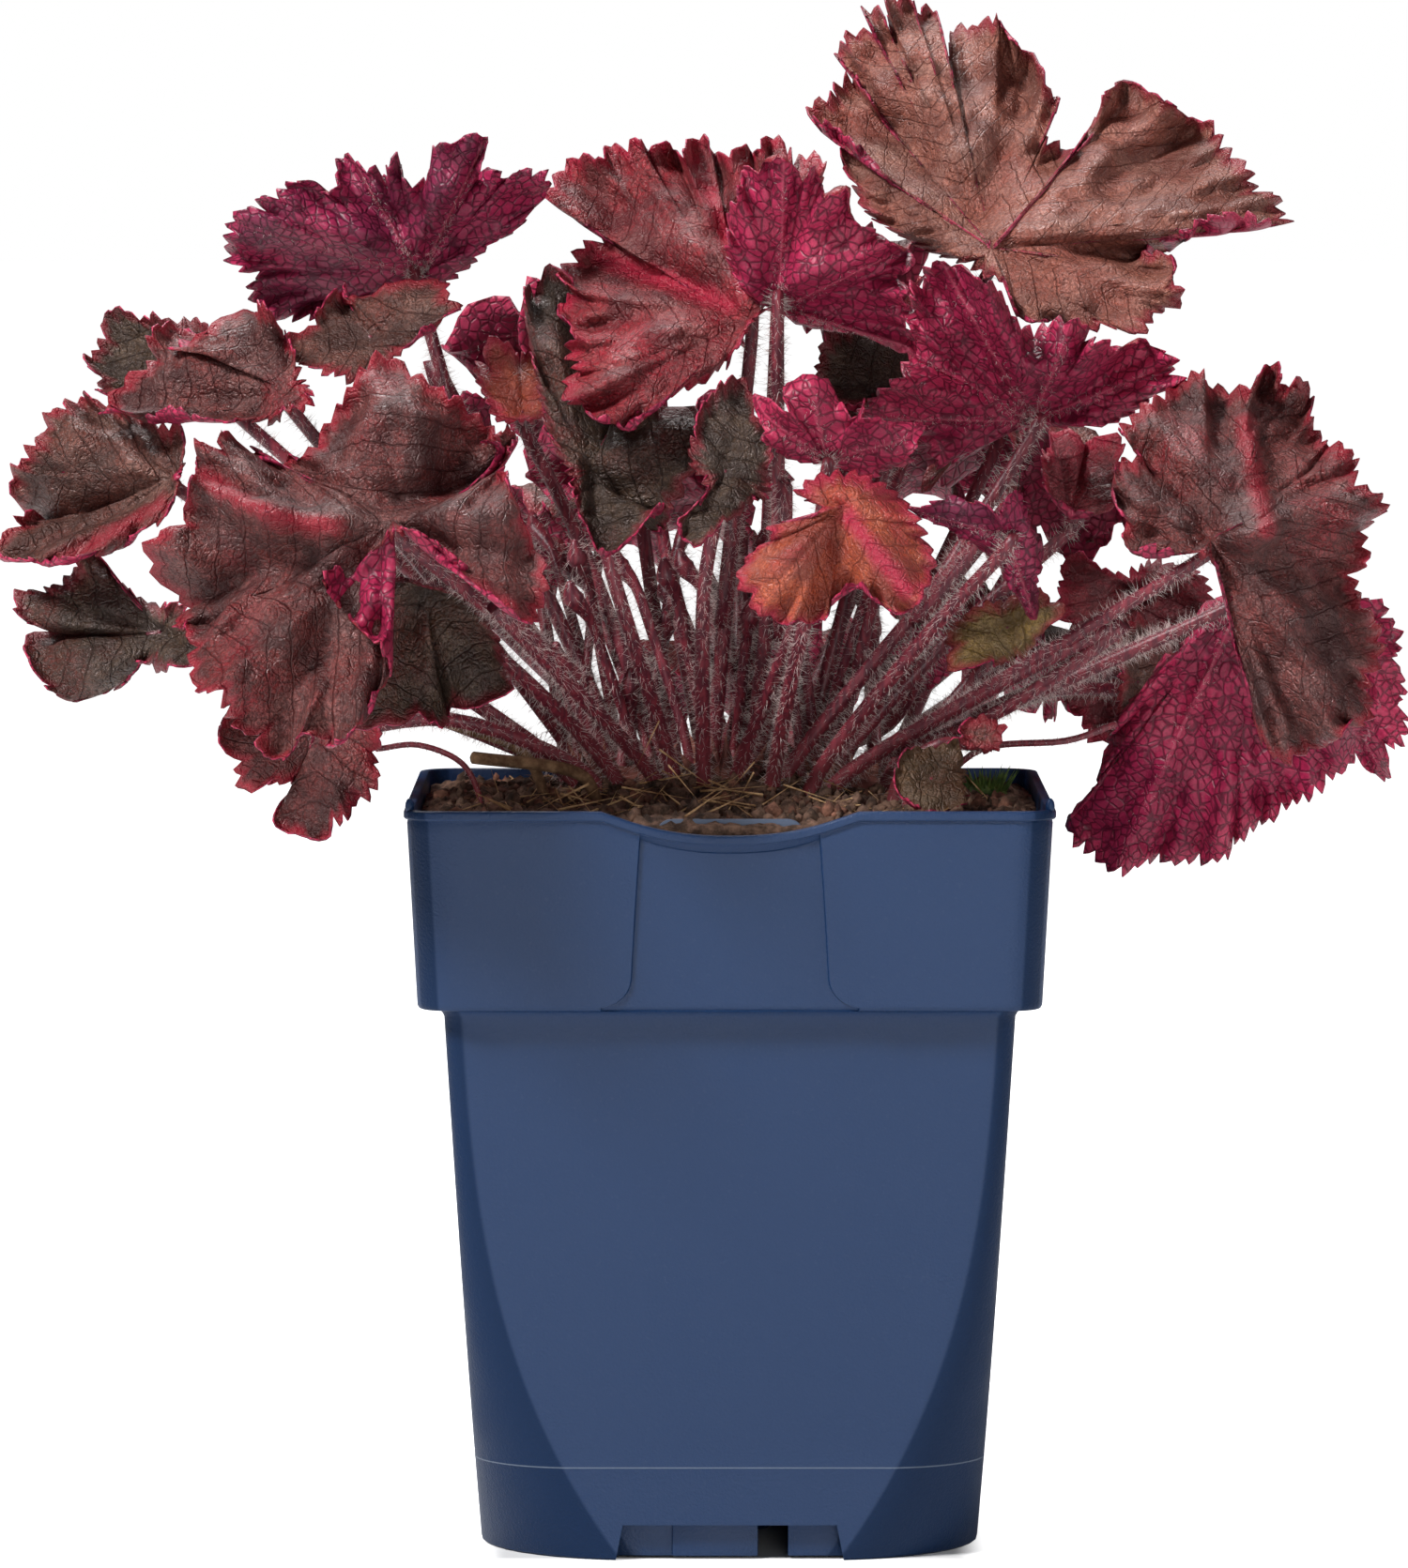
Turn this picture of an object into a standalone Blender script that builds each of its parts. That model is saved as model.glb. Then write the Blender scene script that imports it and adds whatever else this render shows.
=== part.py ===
"""Heuchera in a square nursery pot: ruffled palmate leaves on long stalks, crowns, soil and pot.

Lengths below are in millimetres and are turned into metres where meshes are made.
The origin is the middle of the pot's foot, and +Y points away from the viewer.
"""

import math
import random

import bmesh
import bpy
from mathutils import Matrix, Vector, noise

MM = 0.001

# Pot
POT_HEIGHT = 176.5
LIP_WIDTH = 151.0
COLLAR_TOP_WIDTH = 149.8
COLLAR_FOOT_WIDTH = 145.0
COLLAR_FOOT = 131.0
COLLAR_CORNER = 9.0
LIP_HEIGHT = 2.2
BODY_TOP_WIDTH = 133.0
BODY_FOOT_WIDTH = 117.0
BODY_CORNER = 4.5
FOOT_CORNER_GAIN = 29.0
CORNER_STEPS = 4
WALL = 1.7
FLOOR_TOP = 11.0
FLOOR_UNDER = 9.2
DIP_DEPTH = 5.6
DIP_REACH = 30.0
DIP_FADE = 22.0
DIP_STATIONS = (-29, -23, -18, -12, -6, 0, 6, 12, 18, 23, 29)
RECESS_DEPTH = 0.9
RECESS_TOP_HALF = 20.4
RECESS_FOOT_HALF = 22.6
RECESS_FLARE = 7.0
NOTCH_HALF = 25.0
NOTCH_HEIGHT = 8.4
PANEL_SETBACK = 52.0
PANEL_SPANS = ((-24.6, -12.2), (-11.4, 7.0), (13.6, 24.6))
OUTSIDE_HEIGHTS = (10, 22, 38, 60, 90)
INSIDE_HEIGHTS = (78, 38, 22)
NIB = (74.0, -69.0, 0.9, 179.2)
DRAIN_RADIUS = 4.0
DRAIN_REACH = 27.0
HUB_RADIUS = 10.0

# Grip plate behind the dip
PLATE_WIDTH = 34.7
PLATE_TOP = 174.4
PLATE_FOOT = 136.0
PLATE_THICK = 1.6
PLATE_RIBS = (-11.0, 0.0, 11.0)

# Soil and crowns
SOIL_EDGE = 168.5
SOIL_MOUND = 10.0
MOUND_REACH = 52.0
GAP = 0.4
STALK_ROOT = 168.0
CROWN_RISE = 5.0
CROWN_DEPTH = 16.0
CROWNS = (("crown_left", -27, -6, 13, 12), ("crown_middle", 0, -8, 10, 11), ("crown_right", 27, -7, 13, 12))

# Leaves
BLADE_THICK = 0.8
STALK_RADIUS = 1.7
VIEW_DISTANCE = 2400.0
VIEW_X = -6.0
VIEW_Z = 343.0
LARGE_RINGS = (0.0, 0.46, 0.8, 1.0)
SMALL_RINGS = (0.0, 0.6, 1.0)
LARGE_LEAF = 72.0
SMALL_LEAF = 34.0
CLOSE_MARGIN = 20
TOOTH = 0.09

# Every leaf: where its stalk joins the blade, as (x, z) seen on the middle plane and its depth y,
# the normal of its upper face, the margin as (x, z) going round, the root of its stalk as (x, y),
# and points (x, z, y) that the stalk passes. "hang" flattens the part below the joint,
# "dome" lifts the middle of the blade and "wave" is the height of its ruffles.
LEAVES = {
    "a": dict(joint=(62, 305, 10), normal=(-0.10, -0.72, 0.68), root=(17, -2), dome=5, wave=2.6,
              colour="terracotta", stalk=((40, 262, 4),),
              margin=((60, 297), (68, 288), (80, 285), (91, 285), (101, 286), (108, 291), (106, 300),
                      (122, 301), (134, 306), (130, 318), (117, 329), (107, 336), (93, 341), (87, 331),
                      (80, 322), (79, 338), (66, 351), (56, 359), (50, 352), (44, 365), (31, 360),
                      (24, 352), (33, 341), (20, 335), (27, 325), (38, 323), (32, 311), (46, 303))),
    "b": dict(joint=(-73, 299, -6), normal=(0.10, 0.78, 0.62), root=(-24, 3), dome=-6, wave=2.4,
              colour="bronze", stalk=((-70, 278, -8), (-58, 240, -4)),
              margin=((-68, 296), (-59, 302), (-48, 310), (-43, 322), (-53, 325), (-55, 332), (-63, 328),
                      (-70, 330), (-79, 326), (-90, 328), (-98, 322), (-104, 323), (-112, 313), (-120, 302),
                      (-115, 294), (-104, 297), (-92, 290), (-80, 293))),
    "c": dict(joint=(4, 288, -34), normal=(-0.22, -0.72, 0.66), root=(-4, -5), dome=5, wave=2.6,
              colour="bronze", stalk=((2, 250, -26), (-2, 215, -16)),
              margin=((2, 281), (-6, 270), (-15, 266), (-24, 261), (-32, 263), (-40, 270), (-37, 279),
                      (-40, 288), (-40, 297), (-36, 306), (-44, 314), (-39, 321), (-31, 324), (-21, 326),
                      (-14, 324), (-5, 328), (5, 326), (11, 318), (14, 305), (12, 294))),
    "c2": dict(joint=(12, 291, -46), normal=(0.10, 0.86, 0.50), root=(5, -12), dome=-5, wave=2.0,
               colour="bronze", stalk=((13, 250, -40), (12, 212, -26)),
               margin=((16, 282), (28, 277), (43, 277), (46, 285), (42, 293), (45, 304), (38, 311),
                       (30, 318), (21, 327), (10, 328), (5, 318), (2, 307), (3, 296), (8, 286))),
    "d": dict(joint=(72, 264, -20), normal=(0.05, 0.86, 0.50), root=(13, -17), dome=-5, wave=2.2,
              colour="bronze", stalk=((68, 246, -34), (44, 216, -28)),
              margin=((66, 258), (58, 254), (50, 254), (38, 258), (30, 267), (34, 279), (42, 290),
                      (49, 303), (57, 300), (64, 290), (74, 287), (82, 289), (92, 286), (99, 285),
                      (108, 278), (103, 270), (92, 264), (82, 259))),
    "e": dict(joint=(114, 236, -68), normal=(0.15, -0.70, 0.70), root=(27, -21), dome=6, wave=2.6,
              hang=0.25, colour="bronze", stalk=((93, 216, -50), (66, 196, -36), (40, 187, -24)),
              margin=((108, 232), (95, 231), (91, 243), (95, 252), (91, 263), (102, 271), (111, 276),
                      (121, 272), (129, 274), (138, 268), (141, 258), (149, 255), (156, 242), (152, 231),
                      (157, 215), (153, 199), (144, 189), (138, 183), (129, 183), (127, 192), (121, 208),
                      (117, 224))),
    "e2": dict(joint=(123, 224, -26), normal=(0.15, 0.92, 0.36), root=(31, -10), dome=-4, wave=2.2,
               colour="bronze", stalk=((106, 214, -18), (70, 198, -14)),
               margin=((116, 221), (106, 208), (92, 192), (87, 176), (80, 165), (92, 158), (103, 159),
                       (116, 159), (125, 167), (140, 175), (151, 184), (155, 200), (148, 214), (134, 222))),
    "f": dict(joint=(138, 214, 24), normal=(0.45, 0.86, 0.20), root=(30, 1), dome=-3, wave=1.6,
              colour="red", stalk=((90, 204, 16),),
              margin=((138, 222), (148, 223), (155, 221), (160, 212), (160, 200), (161, 189), (156, 177),
                      (148, 184), (141, 196), (135, 206))),
    "g": dict(joint=(-79, 239, -96), normal=(-0.22, -0.78, 0.58), root=(-18, -21), dome=6, wave=2.8,
              hang=0.35, colour="bronze", stalk=((-56, 220, -82), (-36, 203, -50)),
              margin=((-73, 235), (-61, 225), (-47, 214), (-41, 224), (-43, 235), (-43, 246), (-52, 258),
                      (-57, 270), (-68, 277), (-80, 279), (-90, 268), (-96, 266), (-108, 267), (-121, 264),
                      (-130, 255), (-136, 245), (-133, 238), (-138, 230), (-134, 217), (-127, 212), (-125, 199),
                      (-117, 190), (-107, 183), (-99, 187), (-91, 185), (-82, 193), (-77, 206), (-84, 220))),
    "h": dict(joint=(-106, 271, -52), normal=(-0.25, -0.74, 0.62), root=(-34, 6), dome=3, wave=1.8,
              colour="bronze", stalk=((-84, 246, -30), (-60, 214, -14)),
              margin=((-98, 267), (-103, 280), (-108, 288), (-116, 292), (-124, 287), (-132, 288), (-142, 279),
                      (-150, 267), (-141, 263), (-128, 262), (-114, 262))),
    "h2": dict(joint=(-124, 274, 8), normal=(-0.25, -0.74, 0.62), root=(-30, 14), dome=3, wave=1.6,
               colour="olive", stalk=((-84, 236, 8),),
               margin=((-118, 281), (-126, 287), (-134, 286), (-145, 287), (-151, 278), (-149, 269), (-138, 265),
                       (-124, 265))),
    "i": dict(joint=(-132, 250, -44), normal=(-0.40, -0.74, 0.54), root=(-38, -3), dome=4, wave=2.2,
              colour="brown", stalk=((-104, 226, -34), (-70, 204, -20)),
              margin=((-128, 261), (-139, 263), (-153, 268), (-161, 262), (-164, 254), (-168, 248), (-168, 240),
                      (-172, 230), (-160, 228), (-146, 230), (-137, 236), (-130, 242))),
    "j": dict(joint=(-135, 214, -50), normal=(-0.36, -0.78, 0.50), root=(-38, -13), dome=4, wave=2.0,
              colour="olive", stalk=((-100, 206, -38), (-66, 201, -20)),
              margin=((-128, 220), (-140, 222), (-151, 232), (-158, 224), (-168, 222), (-164, 214), (-165, 207),
                      (-162, 196), (-150, 201), (-139, 206), (-130, 204), (-123, 206))),
    "k": dict(joint=(-98, 191, -38), normal=(0.05, -0.90, 0.42), root=(-33, -22), dome=2, wave=1.6,
              hang=0.2, colour="red", stalk=((-66, 193, -34),),
              margin=((-104, 196), (-114, 195), (-121, 190), (-117, 176), (-112, 180), (-105, 173), (-104, 166),
                      (-97, 164), (-91, 168), (-84, 175), (-83, 190), (-90, 196))),
    "m": dict(joint=(-72, 224, -62), normal=(0.05, -0.92, 0.38), root=(-27, -17), dome=3, wave=1.8,
              hang=0.2, colour="olive", stalk=((-50, 204, -42),),
              margin=((-62, 222), (-54, 212), (-52, 199), (-62, 194), (-76, 188), (-89, 190), (-95, 198),
                      (-92, 212), (-84, 226))),
    "n": dict(joint=(-33, 252, -38), normal=(0.05, -0.80, 0.60), root=(-13, -14), dome=3, wave=2.0,
              colour="olive", stalk=((-27, 225, -40),),
              margin=((-38, 248), (-35, 238), (-29, 230), (-21, 236), (-10, 244), (-4, 257), (-12, 266),
                      (-24, 272), (-33, 284), (-42, 297), (-49, 290), (-46, 274), (-44, 260))),
    "o": dict(joint=(-1, 252, -58), normal=(0.0, -0.84, 0.54), root=(-6, -23), dome=2, wave=1.4,
              colour="olive", stalk=((-6, 224, -46),),
              margin=((-6, 246), (-12, 238), (-8, 232), (1, 235), (8, 242), (7, 252), (4, 261), (-4, 262),
                      (-10, 254))),
    "p": dict(joint=(27, 244, -88), normal=(0.0, -0.85, 0.52), root=(10, -27), dome=4, wave=2.0,
              hang=0.5, colour="orange", stalk=((18, 216, -66),),
              margin=((21, 242), (10, 236), (3, 231), (1, 224), (7, 216), (16, 214), (23, 217), (28, 222),
                      (34, 218), (42, 218), (47, 224), (48, 232), (44, 242), (37, 251), (28, 254), (18, 252),
                      (10, 246))),
    "q": dict(joint=(23, 255, -64), normal=(0.0, 0.82, 0.57), root=(2, -18), dome=-3, wave=1.8,
              colour="orange", stalk=((18, 222, -52),),
              margin=((14, 255), (8, 259), (6, 266), (12, 270), (19, 273), (26, 268), (33, 269), (40, 265),
                      (47, 261), (42, 254), (32, 251))),
    "r": dict(joint=(66, 237, -62), normal=(0.05, 0.88, 0.46), root=(20, -27), dome=-3, wave=1.8,
              colour="bronze", stalk=((46, 212, -48),),
              margin=((60, 232), (52, 237), (40, 244), (44, 251), (53, 253), (60, 247), (68, 245), (76, 240),
                      (79, 228), (73, 215), (67, 223))),
    "s": dict(joint=(66, 215, -22), normal=(0.0, -0.90, 0.44), root=(37, -18), dome=2, wave=1.4,
              colour="yellow", stalk=((52, 196, -20),),
              margin=((58, 220), (51, 214), (52, 205), (60, 202), (70, 205), (78, 212), (81, 220), (72, 223))),
    "s2": dict(joint=(46, 209, 8), normal=(0.0, 0.92, 0.38), root=(19, 8), dome=-1, wave=0.8,
               colour="red", stalk=((38, 192, 8),),
               margin=((40, 211), (38, 206), (42, 201), (48, 200), (53, 205), (53, 211))),
    "t": dict(joint=(81, 241, -8), normal=(0.0, -0.84, 0.54), root=(24, -8), dome=2, wave=1.2,
              colour="red", stalk=((52, 212, -8),),
              margin=((76, 246), (74, 255), (77, 263), (84, 260), (93, 260), (94, 250), (90, 242))),
    "u": dict(joint=(-85, 284, -34), normal=(-0.05, -0.76, 0.64), root=(-26, -8), dome=3, wave=1.8,
              colour="brown", stalk=((-66, 244, -20),),
              margin=((-80, 277), (-72, 283), (-63, 291), (-68, 298), (-80, 299), (-92, 296), (-102, 288),
                      (-108, 278), (-98, 275), (-88, 272))),
    "v": dict(joint=(-49, 266, 2), normal=(0.0, -0.84, 0.54), root=(-15, -5), dome=2, wave=1.4,
              colour="orange", stalk=((-34, 232, -2),),
              margin=((-55, 264), (-61, 276), (-57, 283), (-50, 281), (-43, 282), (-40, 272), (-43, 264))),
    "w": dict(joint=(34, 270, 22), normal=(0.0, -0.84, 0.54), root=(8, 0), dome=2, wave=1.4,
              colour="olive", stalk=((20, 232, 4),),
              margin=((26, 268), (20, 274), (22, 284), (32, 287), (42, 285), (50, 277), (44, 268))),
    "x": dict(joint=(98, 222, 40), normal=(0.1, -0.88, 0.46), root=(33, 11), dome=3, wave=2.0,
              colour="red", stalk=((64, 204, 26),),
              margin=((92, 228), (80, 230), (77, 220), (81, 208), (79, 196), (86, 187), (96, 186), (108, 182),
                      (118, 188), (117, 202), (121, 214), (112, 228), (102, 232))),
    "y": dict(joint=(97, 202, 5), normal=(0.2, -0.90, 0.38), root=(38, -6), dome=2, wave=1.4,
              colour="brown", stalk=((72, 199, 0),),
              margin=((92, 206), (92, 214), (98, 219), (106, 214), (108, 200), (104, 187), (98, 183), (92, 190))),
    "z": dict(joint=(61, 189, -38), normal=(0.0, -0.92, 0.38), root=(39, -31), dome=1, wave=0.8,
              colour="brown", stalk=((50, 187, -34),),
              margin=((55, 191), (55, 186), (60, 184), (66, 186), (66, 192), (60, 194))),
    "dead": dict(joint=(48, 179, -44), normal=(0.1, -0.80, 0.60), root=(42, -38), dome=1, wave=0.6,
                 colour="dead", stalk=((44, 177, -41),),
                 margin=((42, 185), (39, 178), (43, 172), (50, 170), (57, 173), (58, 181), (54, 187), (48, 186))),
}

# Leaves round the back, which follow one rule: (heading in degrees from +X, reach, height, blade size)
BACK_LEAVES = (
    (32, 110, 262, 46), (48, 132, 214, 44), (64, 148, 262, 42), (76, 72, 304, 46), (88, 134, 204, 42),
    (101, 136, 250, 48), (119, 82, 290, 44), (136, 128, 226, 46), (156, 116, 258, 38),
)
# Bare stems: name, root (x, y), points (x, z, y) passed, radius
STEMS = (
    ("stub_stem", (-31, -30), ((-38, 181, -33), (-61, 184, -38)), 1.5),
    ("low_stem", (-43, -18), ((-50, 186, -22), (-66, 192, -28)), 1.3),
    ("thin_stalk_left", (-58, -22), ((-64, 183, -24), (-74, 187, -26), (-84, 186, -28)), 0.7),
    ("thin_stalk_right", (48, -22), ((60, 186, -24), (80, 188, -26), (92, 192, -26)), 0.8),
)
MOSS = (61.0, 4.0)
MOSS_SPIKES = 12
BACK_LOBES = 7
BACK_NOTCH = 0.74

COLOURS = {
    "bronze": (0.150, 0.040, 0.042), "terracotta": (0.300, 0.095, 0.070), "brown": (0.180, 0.070, 0.050),
    "olive": (0.075, 0.050, 0.025), "orange": (0.420, 0.090, 0.040), "yellow": (0.330, 0.230, 0.050),
    "red": (0.230, 0.022, 0.035), "pot": (0.018, 0.055, 0.135), "plate": (0.060, 0.090, 0.160),
    "soil": (0.022, 0.015, 0.011), "crown": (0.160, 0.040, 0.035), "dead": (0.120, 0.085, 0.030),
    "moss": (0.060, 0.100, 0.020), "stub": (0.260, 0.150, 0.080),
}


def clear_scene():
    for obj in list(bpy.data.objects):
        bpy.data.objects.remove(obj, do_unlink=True)


def make_collection(name):
    collection = bpy.data.collections.new(name)
    bpy.context.scene.collection.children.link(collection)
    return collection


def make_material(name, colour, roughness=0.6):
    material = bpy.data.materials.new(name)
    material.use_nodes = True
    shader = material.node_tree.nodes["Principled BSDF"]
    shader.inputs["Base Color"].default_value = (*COLOURS[colour], 1)
    shader.inputs["Roughness"].default_value = roughness
    shader.inputs["Metallic"].default_value = 0
    return material


def add_object(name, mesh, collection, material=None):
    obj = bpy.data.objects.new(name, mesh)
    collection.objects.link(obj)
    if material:
        mesh.materials.clear()
        mesh.materials.append(material)
    return obj


def mesh_from(bm, name, smooth=True):
    """Turns a bmesh in millimetres into a mesh in metres."""
    bmesh.ops.recalc_face_normals(bm, faces=bm.faces)
    bmesh.ops.scale(bm, verts=bm.verts, vec=(MM, MM, MM))
    mesh = bpy.data.meshes.new(name)
    bm.to_mesh(mesh)
    bm.free()
    if smooth:
        mesh.shade_smooth()
        mesh.set_sharp_from_angle(angle=math.radians(40))
    return mesh


def applied(obj):
    """Replaces the object's mesh by the one its modifiers make."""
    graph = bpy.context.evaluated_depsgraph_get()
    mesh = bpy.data.meshes.new_from_object(obj.evaluated_get(graph))
    obj.modifiers.clear()
    obj.data = mesh
    return obj


def boolean(obj, operation, tools, solver="EXACT"):
    """Joins or cuts the object with all of the tools at once, then removes the tools."""
    group = bpy.data.collections.new("tools_" + obj.name)
    for tool in tools:
        for owner in list(tool.users_collection):
            owner.objects.unlink(tool)
        group.objects.link(tool)
    bpy.context.scene.collection.children.link(group)
    modifier = obj.modifiers.new("boolean", "BOOLEAN")
    modifier.operation = operation
    modifier.operand_type = "COLLECTION"
    modifier.collection = group
    modifier.solver = solver
    applied(obj)
    for tool in tools:
        bpy.data.objects.remove(tool, do_unlink=True)
    bpy.data.collections.remove(group)


def box(name, low, high, collection):
    bm = bmesh.new()
    bmesh.ops.create_cube(bm, size=1)
    size = [h - l for l, h in zip(low, high)]
    middle = [(h + l) / 2 for l, h in zip(low, high)]
    bmesh.ops.scale(bm, verts=bm.verts, vec=size)
    bmesh.ops.translate(bm, verts=bm.verts, vec=middle)
    return add_object(name, mesh_from(bm, name, smooth=False), collection)


def drum(name, x, y, low, high, radius, collection, sides=16):
    bm = bmesh.new()
    bmesh.ops.create_cone(bm, cap_ends=True, segments=sides, radius1=radius, radius2=radius, depth=high - low)
    bmesh.ops.translate(bm, verts=bm.verts, vec=(x, y, (low + high) / 2))
    return add_object(name, mesh_from(bm, name), collection)


def turned(obj, degrees):
    """Turns a copy of a cutter about the pot's axis."""
    copy = obj.copy()
    copy.data = obj.data.copy()
    copy.data.transform(Matrix.Rotation(math.radians(degrees), 4, "Z"))
    obj.users_collection[0].objects.link(copy)
    return copy


# Pot

def body_width(z):
    return BODY_FOOT_WIDTH + (BODY_TOP_WIDTH - BODY_FOOT_WIDTH) * z / COLLAR_FOOT


def body_corner(z):
    return BODY_CORNER + FOOT_CORNER_GAIN * max(0.0, 1 - z / COLLAR_FOOT) ** 3


def dip_drop(x, z):
    """How far the rim dips at the front, fading to nothing lower on the collar."""
    across = min(1.0, abs(x) / DIP_REACH)
    fade = max(0.0, min(1.0, (z - (POT_HEIGHT - DIP_FADE)) / (DIP_FADE - LIP_HEIGHT)))
    return DIP_DEPTH * (1 - across**2.4) ** 1.15 * fade


def ring_points(width, corner, z, dips=True):
    """One rounded square at height z, with extra points along the front where the rim dips."""
    half = width / 2
    points = []
    for quarter in range(4):
        centre = Vector((half - corner, half - corner)) @ Matrix.Rotation(-math.radians(90 * quarter), 2)
        for step in range(CORNER_STEPS + 1):
            angle = math.radians(90 * (quarter + step / CORNER_STEPS))
            points.append(centre + corner * Vector((math.cos(angle), math.sin(angle))))
    if dips:
        reach = min(1.0, 0.97 * (half - corner) / DIP_STATIONS[-1])
        points[3 * CORNER_STEPS + 3:3 * CORNER_STEPS + 3] = [Vector((x * reach, -half)) for x in DIP_STATIONS]
    return [(p.x, p.y, z - (dip_drop(p.x, z) if dips and p.y < -half + 0.01 else 0)) for p in points]


def loft(rings, name, collection, material=None):
    """A closed skin over rings of equal count, capped at both ends."""
    bm = bmesh.new()
    loops = [[bm.verts.new(p) for p in ring] for ring in rings]
    for lower, upper in zip(loops, loops[1:]):
        count = len(lower)
        for i in range(count):
            bm.faces.new((lower[i], lower[(i + 1) % count], upper[(i + 1) % count], upper[i]))
    bm.faces.new(loops[0][::-1])
    bm.faces.new(loops[-1])
    return add_object(name, mesh_from(bm, name), collection, material)


def body_rings(heights, inset, down=False, dips=True):
    heights = sorted(heights, reverse=down)
    return [ring_points(body_width(z) - 2 * inset, max(2.6, body_corner(z) - inset), z, dips) for z in heights]


def make_pot(parts, cutters):
    corner = COLLAR_CORNER
    inner = corner - WALL
    top = POT_HEIGHT
    collar_low = POT_HEIGHT - DIP_FADE
    slope = (COLLAR_TOP_WIDTH - COLLAR_FOOT_WIDTH) / (POT_HEIGHT - COLLAR_FOOT)

    def collar_width(z):
        return COLLAR_FOOT_WIDTH + slope * (z - COLLAR_FOOT)

    under = FLOOR_UNDER
    rings = [ring_points(body_width(under) - 4, body_corner(under) - 2, under)]
    rings += [ring_points(BODY_FOOT_WIDTH - 4, body_corner(0) - 2, 0)]
    rings += body_rings((0, *OUTSIDE_HEIGHTS, COLLAR_FOOT - 1.6), 0)
    rings += [ring_points(COLLAR_FOOT_WIDTH - 1, corner, COLLAR_FOOT - 0.8)]
    rings += [ring_points(collar_width(z), corner, z) for z in (COLLAR_FOOT, collar_low, top - LIP_HEIGHT)]
    rings += [ring_points(LIP_WIDTH, corner + 0.4, z) for z in (top - LIP_HEIGHT + 0.1, top)]
    rings += [ring_points(collar_width(z) - 2 * WALL, inner, z) for z in (top, top - LIP_HEIGHT, collar_low)]
    rings += [ring_points(collar_width(COLLAR_FOOT) - 2 * WALL, inner, COLLAR_FOOT + 1.4)]
    rings += body_rings((COLLAR_FOOT, *INSIDE_HEIGHTS, FLOOR_TOP), WALL, down=True)
    pot = loft(rings, "pot", parts, make_material("pot plastic", "pot", 0.55))

    hub = drum("hub", 0, 0, 0, FLOOR_UNDER + 1, HUB_RADIUS, cutters)
    panels = []
    for low, high in PANEL_SPANS:
        panel = box("panel", (low, -PANEL_SETBACK - 1, 1.4), (high, -PANEL_SETBACK + 1, FLOOR_UNDER + 1), cutters)
        panels += [panel] + [turned(panel, angle) for angle in (90, 180, 270)]
    x, y, radius, nib_top = NIB
    nibs = [drum("nib", side * x, y, top - 1, nib_top, radius, cutters, sides=8) for side in (-1, 1)]
    boolean(pot, "UNION", [hub] + panels + nibs)

    notch = box("notch", (-NOTCH_HALF, -BODY_FOOT_WIDTH, -1), (NOTCH_HALF, -PANEL_SETBACK - 2, NOTCH_HEIGHT), cutters)
    tools = [notch] + [turned(notch, angle) for angle in (90, 180, 270)]
    for angle in (45, 135, 225, 315):
        x = DRAIN_REACH * math.cos(math.radians(angle)) * math.sqrt(2)
        y = DRAIN_REACH * math.sin(math.radians(angle)) * math.sqrt(2)
        tools.append(drum("drain", x, y, FLOOR_UNDER - 2, FLOOR_TOP + 2, DRAIN_RADIUS, cutters))
    recess = make_recess(cutters, slope / 2)
    tools += [recess] + [turned(recess, angle) for angle in (90, 180, 270)]
    boolean(pot, "DIFFERENCE", tools)
    return pot


def make_recess(cutters, slope):
    """The sunk middle panel of the collar's front, flared at its foot, as a cutter."""
    low = COLLAR_FOOT - 3
    high = POT_HEIGHT - LIP_HEIGHT - 0.9
    bend = COLLAR_FOOT + RECESS_FLARE
    right = [(RECESS_FOOT_HALF + RECESS_FLARE, low), (RECESS_FOOT_HALF + RECESS_FLARE, COLLAR_FOOT)]
    for angle in (30, 60, 90):
        turn = math.radians(angle)
        right.append((RECESS_FOOT_HALF + RECESS_FLARE * (1 - math.sin(turn)), bend - RECESS_FLARE * math.cos(turn)))
    right.append((RECESS_TOP_HALF, high - DIP_DEPTH))
    left = [(-x, z) for x, z in reversed(right)]
    arch = [(x, high - DIP_DEPTH + 0.2 + dip_drop(0, POT_HEIGHT) - dip_drop(x, POT_HEIGHT)) for x in (18, 9, 0, -9, -18)]
    outline = right + arch + left
    bm = bmesh.new()
    front = []
    back = []
    for x, z in outline:
        face = -COLLAR_FOOT_WIDTH / 2 - slope * (z - COLLAR_FOOT)
        front.append(bm.verts.new((x, face - 6, z)))
        back.append(bm.verts.new((x, face + RECESS_DEPTH, z)))
    count = len(outline)
    bm.faces.new(front)
    bm.faces.new(back[::-1])
    for i in range(count):
        bm.faces.new((front[i], back[i], back[(i + 1) % count], front[(i + 1) % count]))
    bmesh.ops.triangulate(bm, faces=bm.faces)
    return add_object("recess", mesh_from(bm, "recess", smooth=False), cutters)


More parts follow.
